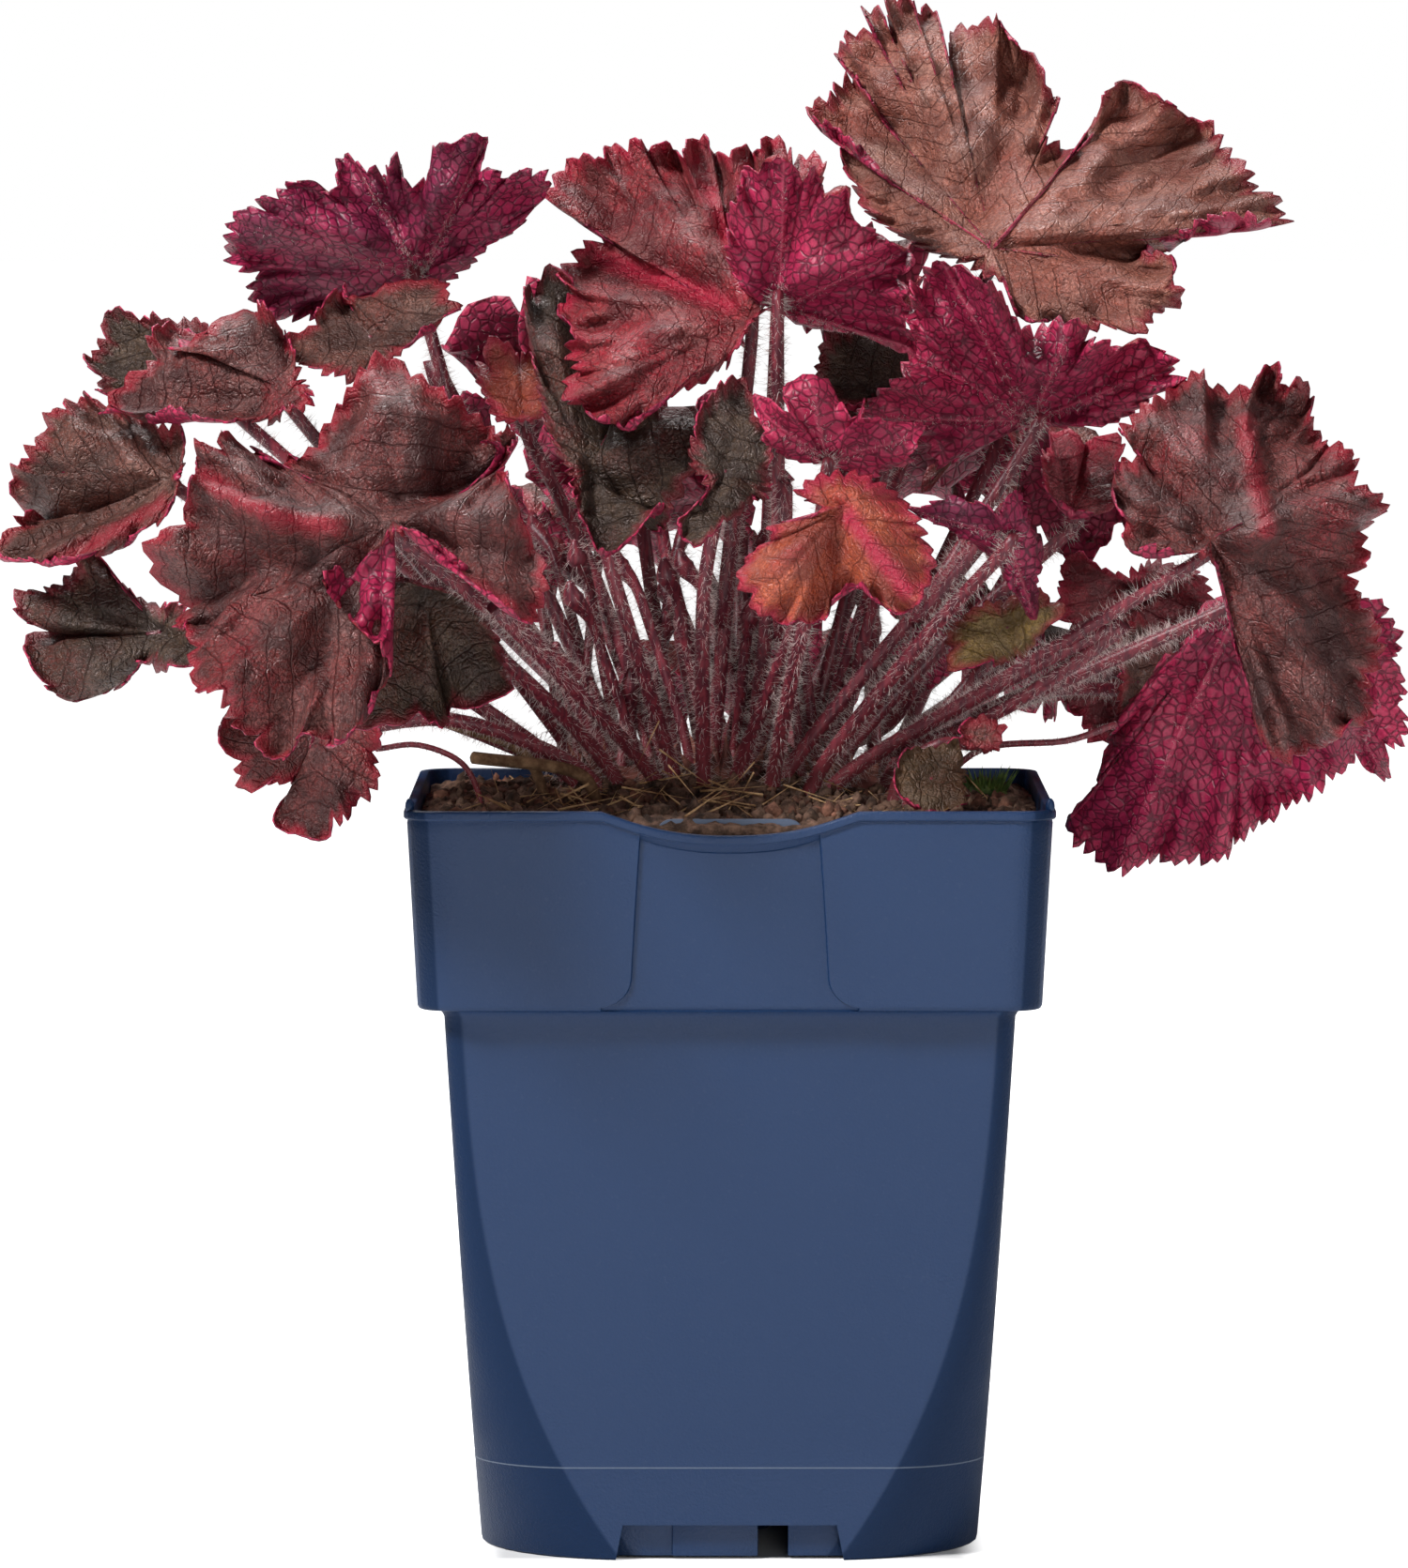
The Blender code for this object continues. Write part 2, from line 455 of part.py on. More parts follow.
def make_plate(parts, cutters, grow=0.0, name="grip_plate"):
    """The label grip plate, against the front wall, or the room it needs when grown."""
    wall = COLLAR_FOOT_WIDTH / 2 - WALL - 0.4
    low = (-PLATE_WIDTH / 2 - grow, -wall - grow, PLATE_FOOT - grow)
    high = (PLATE_WIDTH / 2 + grow, -wall + PLATE_THICK + 3 * grow, PLATE_TOP + (30 if grow else 0))
    bm = bmesh.new()
    bmesh.ops.create_cube(bm, size=1)
    bmesh.ops.scale(bm, verts=bm.verts, vec=[h - l for l, h in zip(low, high)])
    bmesh.ops.translate(bm, verts=bm.verts, vec=[(h + l) / 2 for l, h in zip(low, high)])
    if grow:
        return add_object(name, mesh_from(bm, name, smooth=False), cutters)
    corners = [e for e in bm.edges if all(v.co.z > PLATE_TOP - 1 for v in e.verts)
               and abs(e.verts[0].co.x - e.verts[1].co.x) < 0.1]
    bmesh.ops.bevel(bm, geom=corners, offset=4, segments=4, profile=0.5, affect="EDGES")
    plate = add_object(name, mesh_from(bm, name), parts, make_material("grip plastic", "plate", 0.5))
    ribs = []
    for x in PLATE_RIBS:
        low = (x - 0.8, -wall + PLATE_THICK - 0.4, SOIL_EDGE + 1.5)
        ribs.append(box("rib", low, (x + 0.8, -wall + PLATE_THICK + 0.8, PLATE_TOP - 2), cutters))
    boolean(plate, "UNION", ribs)
    return plate


def keep_largest(obj):
    """Drops loose scraps that a cut leaves, and keeps the body with the most faces."""
    bm = bmesh.new()
    bm.from_mesh(obj.data)
    bmesh.ops.remove_doubles(bm, verts=bm.verts, dist=1e-7)
    left = set(bm.faces)
    bodies = []
    while left:
        body = {left.pop()}
        edge = list(body)
        while edge:
            near = {f for e in edge.pop().edges for f in e.link_faces} & left
            left -= near
            body |= near
            edge += near
        bodies.append(body)
    bodies.sort(key=len)
    loose = [face for body in bodies[:-1] for face in body]
    bmesh.ops.delete(bm, geom=loose, context="FACES")
    bm.to_mesh(obj.data)
    bm.free()


# Soil, crowns and what lies on the soil

def soil_height(x, y):
    """Soil surface: a mound in the middle with crumbly ground round it."""
    away = math.hypot(x, y * 1.1) / MOUND_REACH
    mound = SOIL_MOUND * math.exp(-away * away)
    lumps = 1.3 * noise.noise(Vector((x * 0.07, y * 0.07, 3.1))) + 0.7 * noise.noise(Vector((x * 0.2, y * 0.2, 8)))
    return SOIL_EDGE + mound + lumps


def make_soil(parts):
    inset = WALL + GAP
    rings = body_rings((FLOOR_TOP + GAP, *INSIDE_HEIGHTS, COLLAR_FOOT + 0.6), inset, dips=False)
    sides = [[Vector(p) for p in ring] for ring in rings]
    wide = COLLAR_FOOT_WIDTH - 2 * inset
    sides.append([Vector(p) for p in ring_points(wide, COLLAR_CORNER - inset, COLLAR_FOOT + 2.4, dips=False)])
    top = [Vector(p) for p in ring_points(wide + 3.4, COLLAR_CORNER - inset, SOIL_EDGE, dips=False)]
    rings = sides + [[Vector((p.x, p.y, soil_height(p.x, p.y))) for p in top]]
    for share in (0.86, 0.68, 0.48, 0.28, 0.1):
        rings.append([Vector((p.x * share, p.y * share, soil_height(p.x * share, p.y * share))) for p in top])
    return loft(rings, "soil", parts, make_material("peat", "soil", 0.95))


def lump(name, x, y, low, high, wide, deep, collection, material=None, grow=0.0):
    """A knobbly stump, or the room it needs when grown."""
    bm = bmesh.new()
    bmesh.ops.create_uvsphere(bm, u_segments=9, v_segments=6, radius=1)
    for vert in bm.verts:
        bump = 1 + 0.14 * noise.noise(vert.co * 1.7 + Vector((x, y, 0)))
        vert.co = Vector((vert.co.x * wide * bump, vert.co.y * deep * bump, vert.co.z * (high - low) / 2 * bump))
        vert.co += vert.co.normalized() * grow
    bmesh.ops.translate(bm, verts=bm.verts, vec=(x, y, (low + high) / 2))
    return add_object(name, mesh_from(bm, name), collection, material)


# Leaves

def seen(x, z, y):
    """The point at depth y that shows at (x, z) on the middle plane."""
    share = (VIEW_DISTANCE + y) / VIEW_DISTANCE
    return Vector((VIEW_X + (x - VIEW_X) * share, y, VIEW_Z + (z - VIEW_Z) * share))


def catmull(p, q, r, s, t):
    return 0.5 * (2 * q + (r - p) * t + (2 * p - 5 * q + 4 * r - s) * t**2 + (3 * q - p - 3 * r + s) * t**3)


def margin_points(leaf):
    """The margin of a leaf as points in space."""
    if "tips" in leaf:
        return leaf["tips"]
    jx, jz, jy = leaf["joint"]
    nx, ny, nz = leaf["normal"]
    points = []
    for entry in leaf["margin"]:
        dx = entry[0] - jx
        dz = entry[1] - jz
        if dz < 0:
            dz *= leaf.get("hang", 1.0)
        depth = jy - (nx * dx + nz * dz) / ny + (entry[2] if len(entry) > 2 else 0)
        points.append(seen(entry[0], entry[1], depth))
    return points


def leaf_joint(leaf):
    if "tips" in leaf:
        return leaf["centre"]
    x, z, y = leaf["joint"]
    return seen(x, z, y)


def blade_point(leaf, points, turn, share):
    """A point of the blade: turn goes round the margin from 0 to 1, share from the joint to the margin."""
    count = len(points)
    place = turn * count
    index = int(place) % count
    part = place - int(place)
    tip = catmull(points[index - 1], points[index], points[(index + 1) % count], points[(index + 2) % count], part)
    joint = leaf_joint(leaf)
    normal = Vector(leaf["normal"]).normalized()
    rise = leaf["dome"] * 4 * share * (1 - share) * 0.8
    rise += 1.4 * leaf["wave"] * share**3 * math.sin(math.pi * place + 0.9)
    rise += 0.5 * leaf["wave"] * share**2 * math.sin(2 * math.pi * turn * 3 + joint.x)
    away = normal if "tips" in leaf else Vector((0, 1 / normal.y, 0))
    tooth = 1 - TOOTH * share * math.sin(math.pi * part) ** 2
    return joint.lerp(tip, share * tooth) + away * rise


def make_blade(name, leaf):
    """A toothed blade: rings round the joint, the innermost with one point to every two of the margin."""
    points = margin_points(leaf)
    across = max((p - q).length for p in points for q in points)
    rings = LARGE_RINGS if across > LARGE_LEAF and "tips" not in leaf else SMALL_RINGS
    steps = len(points) if across < SMALL_LEAF or len(points) > CLOSE_MARGIN else 2 * len(points)
    bm = bmesh.new()
    bmesh.ops.create_grid(bm, x_segments=steps, y_segments=len(rings) - 1, size=1)
    for vert in bm.verts:
        step = round((vert.co.x + 1) / 2 * steps)
        ring = round((vert.co.y + 1) / 2 * (len(rings) - 1))
        if ring == 1 and steps > len(points):
            step -= step % 2
        vert.co = blade_point(leaf, points, step / steps % 1.0, rings[ring])
    bmesh.ops.remove_doubles(bm, verts=bm.verts, dist=0.01)
    bmesh.ops.dissolve_degenerate(bm, edges=bm.edges, dist=0.001)
    bmesh.ops.triangulate(bm, faces=bm.faces)
    obj = bpy.data.objects.new(name, mesh_from(bm, name))
    solid = obj.modifiers.new("thickness", "SOLIDIFY")
    solid.thickness = BLADE_THICK * MM
    solid.offset = 0
    return obj


def stalk_route(leaf):
    """Smooth points from the root of a stalk to the joint."""
    joint = leaf_joint(leaf)
    normal = Vector(leaf["normal"]).normalized()
    x, y = leaf["root"]
    posts = [Vector((x, y, STALK_ROOT)), Vector((x * 1.04, y * 1.02, STALK_ROOT + 14))]
    posts += [seen(*entry) for entry in leaf["stalk"]] if "tips" not in leaf else leaf["stalk"]
    posts += [joint - normal * 6, joint + normal * 0.7]
    ends = [2 * posts[0] - posts[1]] + posts + [2 * posts[-1] - posts[-2]]
    route = []
    for index in range(1, len(ends) - 2):
        length = (ends[index + 1] - ends[index]).length
        count = 1 if length < 16 else 2
        route += [catmull(*ends[index - 1:index + 3], step / count) for step in range(count)]
    return route + [posts[-1]]


def tube(name, route, radii, collection, resolution=1, material=None):
    """A round bar through the points, as a mesh with welded caps."""
    data = bpy.data.curves.new(name, "CURVE")
    data.dimensions = "3D"
    data.bevel_depth = MM
    data.bevel_resolution = resolution
    data.use_fill_caps = True
    spline = data.splines.new("POLY")
    spline.points.add(len(route) - 1)
    for point, place, radius in zip(spline.points, route, radii):
        point.co = (*(place * MM), 1)
        point.radius = radius
    curve = bpy.data.objects.new(name, data)
    collection.objects.link(curve)
    graph = bpy.context.evaluated_depsgraph_get()
    mesh = bpy.data.meshes.new_from_object(curve.evaluated_get(graph))
    obj = bpy.data.objects.new(name + "_tube", mesh)
    obj.matrix_world = curve.matrix_world
    bpy.data.objects.remove(curve, do_unlink=True)
    bm = bmesh.new()
    bm.from_mesh(mesh)
    bmesh.ops.remove_doubles(bm, verts=bm.verts, dist=1e-6)
    bmesh.ops.recalc_face_normals(bm, faces=bm.faces)
    bm.to_mesh(mesh)
    bm.free()
    if material:
        mesh.materials.append(material)
    collection.objects.link(obj)
    return obj


def stalk_radii(leaf, route, grow=0.0):
    size = leaf.get("stalk_size", 1.0)
    last = len(route) - 1
    return [STALK_RADIUS * size * (1.15 - 0.3 * i / last) + grow for i in range(len(route))]


def back_leaf(index):
    """A leaf round the back, by rule: a domed blade facing up and out on an arching stalk."""
    heading, reach, height, size = BACK_LEAVES[index]
    rng = random.Random(40 + index)
    out = Vector((math.cos(math.radians(heading)), math.sin(math.radians(heading)), 0))
    side = Vector((-out.y, out.x, 0))
    centre = out * reach * 0.72 + Vector((0, 0, height))
    tilt = math.radians(rng.uniform(18, 42))
    normal = (out * math.sin(tilt) + Vector((0, 0, math.cos(tilt)))).normalized()
    along = (out * math.cos(tilt) - Vector((0, 0, math.sin(tilt)))).normalized()
    tips = []
    for step in range(2 * BACK_LOBES):
        angle = math.radians(-158 + 316 * step / (2 * BACK_LOBES - 1))
        length = size * (1.0 if step % 2 else BACK_NOTCH) * rng.uniform(0.93, 1.05)
        length *= 0.78 + 0.22 * math.cos(angle)
        flat = along * math.cos(angle) + side * math.sin(angle)
        tips.append(centre + flat * length - normal * (0.12 * length + 5 * rng.random()))
    tips.append(centre - along * size * 0.2)
    root = (26 - 6.4 * index, 19 + 6 * (index % 2))
    bend = Vector((root[0], root[1], 0)).lerp(centre, 0.5)
    bend.z = STALK_ROOT + (height - STALK_ROOT) * 0.55
    return dict(tips=tips, centre=centre, normal=normal, root=root, stalk=[bend], dome=4.0, wave=2.2,
                colour=rng.choice(("bronze", "brown", "olive")))


def all_leaves():
    leaves = {"leaf_" + key: leaf for key, leaf in LEAVES.items()}
    for index in range(len(BACK_LEAVES)):
        leaves[f"leaf_back_{index + 1}"] = back_leaf(index)
    return leaves


def make_leaf(name, leaf, parts, material):
    blade = make_blade(name, leaf)
    parts.objects.link(blade)
    applied(blade)
    route = stalk_route(leaf)
    stalk = tube(name, route, stalk_radii(leaf, route), parts, resolution=0 if "tips" in leaf else 1)
    boolean(blade, "UNION", [stalk], solver="MANIFOLD")
    blade.data.materials.clear()
    blade.data.materials.append(material)
    return blade


def stem_route(root, posts):
    start = [Vector((*root, STALK_ROOT)), Vector((root[0] * 1.02, root[1] * 1.02, STALK_ROOT + 9))]
    return start + [seen(*post) for post in posts]


def stalk_holes(leaves, cutters):
    """The plain holes that stalks and stems stand in."""
    stalks = [(stalk_route(leaf), stalk_radii(leaf, stalk_route(leaf), GAP)) for leaf in leaves.values()]
    stalks += [(stem_route(root, posts), [radius + GAP] * 9) for name, root, posts, radius in STEMS]
    holes = []
    for route, radii in stalks:
        count = 1 + sum(point.z < SOIL_EDGE + SOIL_MOUND + 12 for point in route)
        low = [route[0] - Vector((0, 0, GAP))] + route[1:count]
        square = [radius * math.sqrt(2) for radius in radii[:len(low)]]
        holes.append(tube("hole", low, square, cutters, resolution=0))
    return holes


def make_moss(parts, cutters):
    """A tuft of pointed shoots on a low cushion."""
    x, y = MOSS
    ground = soil_height(x, y)
    tuft = lump("moss_tuft", x, y, ground - 1.5, ground + 3.5, 5.5, 4.5, parts, make_material("moss", "moss", 0.9))
    rng = random.Random(5)
    shoots = []
    for index in range(MOSS_SPIKES):
        angle = 2.4 * index
        reach = 4.2 * math.sqrt((index + 0.5) / MOSS_SPIKES)
        foot = Vector((x + reach * math.cos(angle), y + 0.8 * reach * math.sin(angle), ground + 1))
        lean = Vector((foot.x - x, foot.y - y, 0)) * 0.5
        top = foot + lean + Vector((0, 0, rng.uniform(5, 8)))
        shoots.append(tube("shoot", [foot, top], [0.9, 0.4], cutters, resolution=0))
    boolean(tuft, "UNION", shoots, solver="MANIFOLD")
    return tuft


def main():
    clear_scene()
    parts = make_collection("heuchera_in_pot")
    cutters = make_collection("cutters")
    cutters.hide_render = True
    make_pot(parts, cutters)
    make_plate(parts, cutters)
    leaves = all_leaves()
    materials = {}
    for name, leaf in leaves.items():
        colour = leaf["colour"]
        if colour not in materials:
            materials[colour] = make_material("leaf " + colour, colour, 0.5)
        make_leaf(name, leaf, parts, materials[colour])
    for name, root, posts, radius in STEMS:
        route = stem_route(root, posts)
        stem = tube(name, route, [radius] * len(route), parts, material=make_material(name, "stub", 0.8))
        stem.name = name
    crown_stuff = make_material("crown", "crown", 0.7)
    rooms = [make_plate(parts, cutters, grow=GAP, name="plate_room")]
    x, y = MOSS
    ground = soil_height(x, y)
    rooms.append(lump("moss_room", x, y, ground - 1.5, ground + 3.5, 5.5, 4.5, cutters, grow=2 * GAP))
    make_moss(parts, cutters)
    for name, x, y, wide, deep in CROWNS:
        top = soil_height(x, y) + CROWN_RISE
        crown = lump(name, x, y, top - CROWN_DEPTH, top, wide, deep, parts, crown_stuff)
        rooms.append(lump("room", x, y, top - CROWN_DEPTH, top, wide, deep, cutters, grow=1.5 * GAP))
        boolean(crown, "DIFFERENCE", stalk_holes(leaves, cutters), solver="MANIFOLD")
        keep_largest(crown)
    soil = make_soil(parts)
    boolean(soil, "DIFFERENCE", rooms + stalk_holes(leaves, cutters), solver="MANIFOLD")
    keep_largest(soil)


main()
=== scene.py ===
import math
import random
from types import SimpleNamespace

import bmesh
import bpy
import numpy as np
from mathutils import Matrix, Vector, noise


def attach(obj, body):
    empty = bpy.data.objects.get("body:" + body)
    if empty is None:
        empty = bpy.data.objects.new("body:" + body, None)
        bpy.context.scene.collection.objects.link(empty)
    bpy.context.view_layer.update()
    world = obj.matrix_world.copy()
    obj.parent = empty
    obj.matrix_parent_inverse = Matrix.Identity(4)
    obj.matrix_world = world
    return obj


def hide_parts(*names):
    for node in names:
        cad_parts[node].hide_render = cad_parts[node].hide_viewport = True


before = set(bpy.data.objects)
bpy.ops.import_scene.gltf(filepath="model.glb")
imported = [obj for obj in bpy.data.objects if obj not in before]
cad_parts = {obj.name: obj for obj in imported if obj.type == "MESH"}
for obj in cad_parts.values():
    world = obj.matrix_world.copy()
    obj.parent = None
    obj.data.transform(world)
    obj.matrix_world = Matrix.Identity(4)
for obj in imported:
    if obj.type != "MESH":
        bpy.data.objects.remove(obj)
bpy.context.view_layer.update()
mm = 0.001  # lengths below are in millimetres, as in the part's own source


# helpers for meshes

def newObject(name, data, *materials):
    made = bpy.data.objects.new(name, data)
    bpy.context.scene.collection.objects.link(made)
    for material in materials:
        data.materials.append(material)
    return made


def toMesh(bm, name, crease=40, scale=mm):
    bmesh.ops.scale(bm, verts=bm.verts, vec=(scale, scale, scale))
    mesh = bpy.data.meshes.new(name)
    bm.to_mesh(mesh)
    bm.free()
    mesh.shade_smooth()
    mesh.set_sharp_from_angle(angle=math.radians(crease))
    return mesh


def setCo(mesh, co):
    mesh.vertices.foreach_set("co", np.ascontiguousarray(co, np.float32).ravel())
    mesh.update()


def sheetGrid(columns, rows):
    # a flat grid, with the column and row of every vertex
    bm = bmesh.new()
    bmesh.ops.create_grid(bm, x_segments=columns, y_segments=rows, size=1)
    mesh = bpy.data.meshes.new("grid")
    bm.to_mesh(mesh)
    bm.free()
    co = np.array([v.co for v in mesh.vertices])
    column, row = np.rint((co[:, :2] + 1) / 2 * (columns, rows)).astype(int).T
    return mesh, column, row


def weld(mesh, distance=0.005 * mm, recalc=True, flip=False):
    bm = bmesh.new()
    bm.from_mesh(mesh)
    bmesh.ops.remove_doubles(bm, verts=bm.verts, dist=distance)
    bmesh.ops.dissolve_degenerate(bm, edges=bm.edges, dist=distance / 4)
    if recalc:
        bmesh.ops.recalc_face_normals(bm, faces=bm.faces)
    if flip:
        bmesh.ops.reverse_faces(bm, faces=bm.faces)
    bm.to_mesh(mesh)
    bm.free()


def applyModifiers(piece):
    graph = bpy.context.evaluated_depsgraph_get()
    mesh = bpy.data.meshes.new_from_object(piece.evaluated_get(graph))
    piece.modifiers.clear()
    piece.data = mesh


def joined(pieces):
    # one object of several closed shells, with their materials and attributes
    with bpy.context.temp_override(active_object=pieces[0], object=pieces[0], selected_objects=pieces,
                                   selected_editable_objects=pieces):
        bpy.ops.object.join()
    return pieces[0]


def cutOut(piece, tools):
    group = bpy.data.collections.new("tools")
    bpy.context.scene.collection.children.link(group)
    for tool in tools:
        bpy.context.scene.collection.objects.unlink(tool)
        group.objects.link(tool)
    boolean = piece.modifiers.new("boolean", "BOOLEAN")
    boolean.operation = "DIFFERENCE"
    boolean.operand_type = "COLLECTION"
    boolean.collection = group
    boolean.solver = "MANIFOLD"
    applyModifiers(piece)
    for tool in tools:
        bpy.data.objects.remove(tool)
    bpy.data.collections.remove(group)


def place(pieces, node, slot, material=None):
    # joins the pieces into one that rides on the body and stands for a node
    piece = joined(pieces)
    if material:
        piece.data.materials.clear()
        piece.data.materials.append(material)
    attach(piece, "root")
    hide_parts(node)


def nodeName(node):
    return node.title().replace("_", "")


def catmull(p, q, r, s, t):
    return 0.5 * (2 * q + (r - p) * t + (2 * p - 5 * q + 4 * r - s) * t**2 + (3 * q - p - 3 * r + s) * t**3)


def sweepFrames(points):
    frames = []
    across = (points[1] - points[0]).normalized().orthogonal()
    for index in range(len(points)):
        ahead = (points[min(index + 1, len(points) - 1)] - points[max(index - 1, 0)]).normalized()
        across = (across - ahead * across.dot(ahead)).normalized()
        frames.append((across, ahead.cross(across), ahead))
    return frames


tube = {"sides": 10, "endLong": 0.5, "endRing": 0.7}  # an end's length and its ring, as shares of the radius


def tubeMesh(name, route, radii, steps):
    # a round bar along a smooth route, rounded off at its ends
    ends = [2 * route[0] - route[1]] + route + [2 * route[-1] - route[-2]]
    wide = [radii[0]] + radii + [radii[-1]]
    points = []
    sizes = []
    for index in range(1, len(ends) - 2):
        for step in range(steps):
            points.append(catmull(*ends[index - 1:index + 3], step / steps))
            sizes.append(wide[index] + (wide[index + 1] - wide[index]) * step / steps)
    points.append(route[-1])
    sizes.append(radii[-1])
    frames = sweepFrames(points)
    mesh, column, row = sheetGrid(tube["sides"], len(points) + 3)
    co = np.empty((len(column), 3))
    for index, (c, r) in enumerate(zip(column, row)):
        at = min(max(r - 2, 0), len(points) - 1)
        across, up, ahead = frames[at]
        past = r - 2 - at  # rows beyond an end: the first is a smaller ring, the second closes it
        middle = points[at] + ahead * sizes[at] * tube["endLong"] * past / 2
        size = sizes[at] * (1.0, tube["endRing"], 0.0)[abs(past)]
        angle = 2 * math.pi * c / tube["sides"]
        co[index] = middle + (across * math.cos(angle) + up * math.sin(angle)) * size
    setCo(mesh, co * mm)
    weld(mesh)
    mesh.shade_smooth()
    mesh.name = name
    return mesh, points, sizes, frames


def smallShape(make, lift=0.0, **settings):
    # the corners and triangles of a small shape that a bmesh operator makes
    bm = bmesh.new()
    make(bm, **settings)
    bmesh.ops.translate(bm, verts=bm.verts, vec=(0, 0, lift))
    bmesh.ops.remove_doubles(bm, verts=bm.verts, dist=1e-4)
    bmesh.ops.triangulate(bm, faces=bm.faces)
    bmesh.ops.recalc_face_normals(bm, faces=bm.faces)
    corners = np.array([v.co for v in bm.verts])
    triangles = np.array([[v.index for v in f.verts] for f in bm.faces])
    bm.free()
    return corners, triangles


def manyMesh(name, co, triangles):
    # one mesh of many copies of a small shape: co holds the corners of each copy
    faces = triangles[None] + co.shape[1] * np.arange(len(co))[:, None, None]
    mesh = bpy.data.meshes.new(name)
    mesh.from_pydata((co.reshape(-1, 3) * mm).tolist(), [], faces.reshape(-1, 3).tolist())
    mesh.update()
    return mesh


def scatterCones(name, feet, ways, lengths, widths, sides=3):
    # fine pointed cones: feet and ways are arrays of points and directions
    shape, triangles = smallShape(bmesh.ops.create_cone, 0.5, cap_ends=True, segments=sides, radius1=1, radius2=0,
                                  depth=1)
    ways = ways / np.linalg.norm(ways, axis=1, keepdims=True)
    aside = np.cross(ways, np.where(np.abs(ways[:, 2:3]) < 0.9, [[0, 0, 1.0]], [[1.0, 0, 0]]))
    aside /= np.linalg.norm(aside, axis=1, keepdims=True)
    third = np.cross(ways, aside)
    co = feet[:, None]
    for axis, (way, size) in enumerate(((aside, widths), (third, widths), (ways, lengths))):
        co = co + shape[None, :, axis:axis + 1] * (way * size[:, None])[:, None]
    return manyMesh(name, co, triangles)


# helpers for materials: sums of wires make Math nodes, so that a pattern reads as a formula

class Wire:
    def __init__(self, tree, socket):
        self.tree = tree
        self.socket = socket

    def math(self, operation, *inputs):
        return put(self.tree, "Math", dict(enumerate(inputs)), operation=operation)

    def __add__(self, other):
        return self.math("ADD", self, other)

    def __sub__(self, other):
        return self.math("SUBTRACT", self, other)

    def __rsub__(self, other):
        return self.math("SUBTRACT", other, self)

    def __mul__(self, other):
        return self.math("MULTIPLY", self, other)

    def __truediv__(self, other):
        return self.math("DIVIDE", self, other)

    def __pow__(self, other):
        return self.math("POWER", self, other)

    def __abs__(self):
        return self.math("ABSOLUTE", self)


def connect(tree, made, inputs):
    # sets a node's inputs, each from a wire, a number or a colour
    for key, value in inputs.items():
        if isinstance(value, Wire):
            tree.links.new(value.socket, made.inputs[key])
        elif made.inputs[key].type == "RGBA" and len(value) == 3:
            made.inputs[key].default_value = (*value, 1)
        else:
            made.inputs[key].default_value = value


def add(tree, kind, inputs, **settings):
    made = tree.nodes.new("ShaderNode" + kind)
    for key, value in settings.items():
        setattr(made, key, value)
    connect(tree, made, inputs)
    return made


def put(tree, kind, inputs, result=0, **settings):
    return Wire(tree, add(tree, kind, inputs, **settings).outputs[result])


def split(vector):
    return [Wire(vector.tree, socket) for socket in add(vector.tree, "SeparateXYZ", {0: vector}).outputs]


def larger(first, second):
    return first.math("MAXIMUM", first, second)


def mix(factor, first, second):
    tree = next(value.tree for value in (factor, first, second) if isinstance(value, Wire))
    return put(tree, "Mix", {0: factor, 6: first, 7: second}, 2, data_type="RGBA")


def remap(value, low, high, toLow=0.0, toHigh=1.0, kind="SMOOTHSTEP"):
    return put(value.tree, "MapRange", {0: value, 1: low, 2: high, 3: toLow, 4: toHigh}, interpolation_type=kind)


def noisy(where, scale, detail=2.0, rough=0.5):
    return put(where.tree, "TexNoise", {"Vector": where, "Scale": scale, "Detail": detail, "Roughness": rough})


def stretched(where, scale):
    return put(where.tree, "Mapping", {"Vector": where, "Scale": scale})


def bump(height, strength, distance):
    return put(height.tree, "Bump", {"Height": height, "Strength": strength, "Distance": distance})


def newMaterial(name):
    material = bpy.data.materials.new(name)
    material.use_nodes = True
    material.node_tree.nodes.clear()
    return material, put(material.node_tree, "TexCoord", {}, "Object")


def finish(material, settings, glow=None, share=0.0):
    # ends a material; glow is the colour of the light that a thin leaf lets through
    tree = material.node_tree
    surface = put(tree, "BsdfPrincipled", settings)
    if glow:
        surface = put(tree, "MixShader", {0: share, 1: surface, 2: put(tree, "BsdfTranslucent", {"Color": glow})})
    add(tree, "OutputMaterial", {0: surface})
    return material


patchy = {  # scale, detail and roughness of a noise, and the two values between which its mask rises
    "mottle": (75.0, 4.0, 0.75, 0.40, 0.62), "speckle": (1250.0, 2.0, 0.7, 0.44, 0.58),
    "flush": (34.0, 3.0, 0.55, 0.50, 0.68), "bloom": (70.0, 5.0, 0.65, 0.46, 0.72),
    "blush": (36.0, 3.0, 0.5, 0.42, 0.66), "streak": (1.0, 3.0, 0.5, 0.35, 0.70),
    "cloud": (22.0, 4.0, 0.6, 0.40, 0.72), "specks": (900.0, 2.0, 0.5, 0.64, 0.72),
    "rubbed": (160.0, 4.0, 0.7, 0.60, 0.78), "crumbs": (240.0, 5.0, 0.7, 0.35, 0.70),
    "scales": (160.0, 4.0, 0.5, 0.35, 0.65), "rot": (420.0, 3.0, 0.5, 0.55, 0.70),
    "shoots": (500.0, 3.0, 0.5, 0.35, 0.65),
}


def patches(where, kind):
    scale, detail, rough, low, high = patchy[kind]
    return remap(noisy(where, scale, detail, rough), low, high)


# leaf finishes

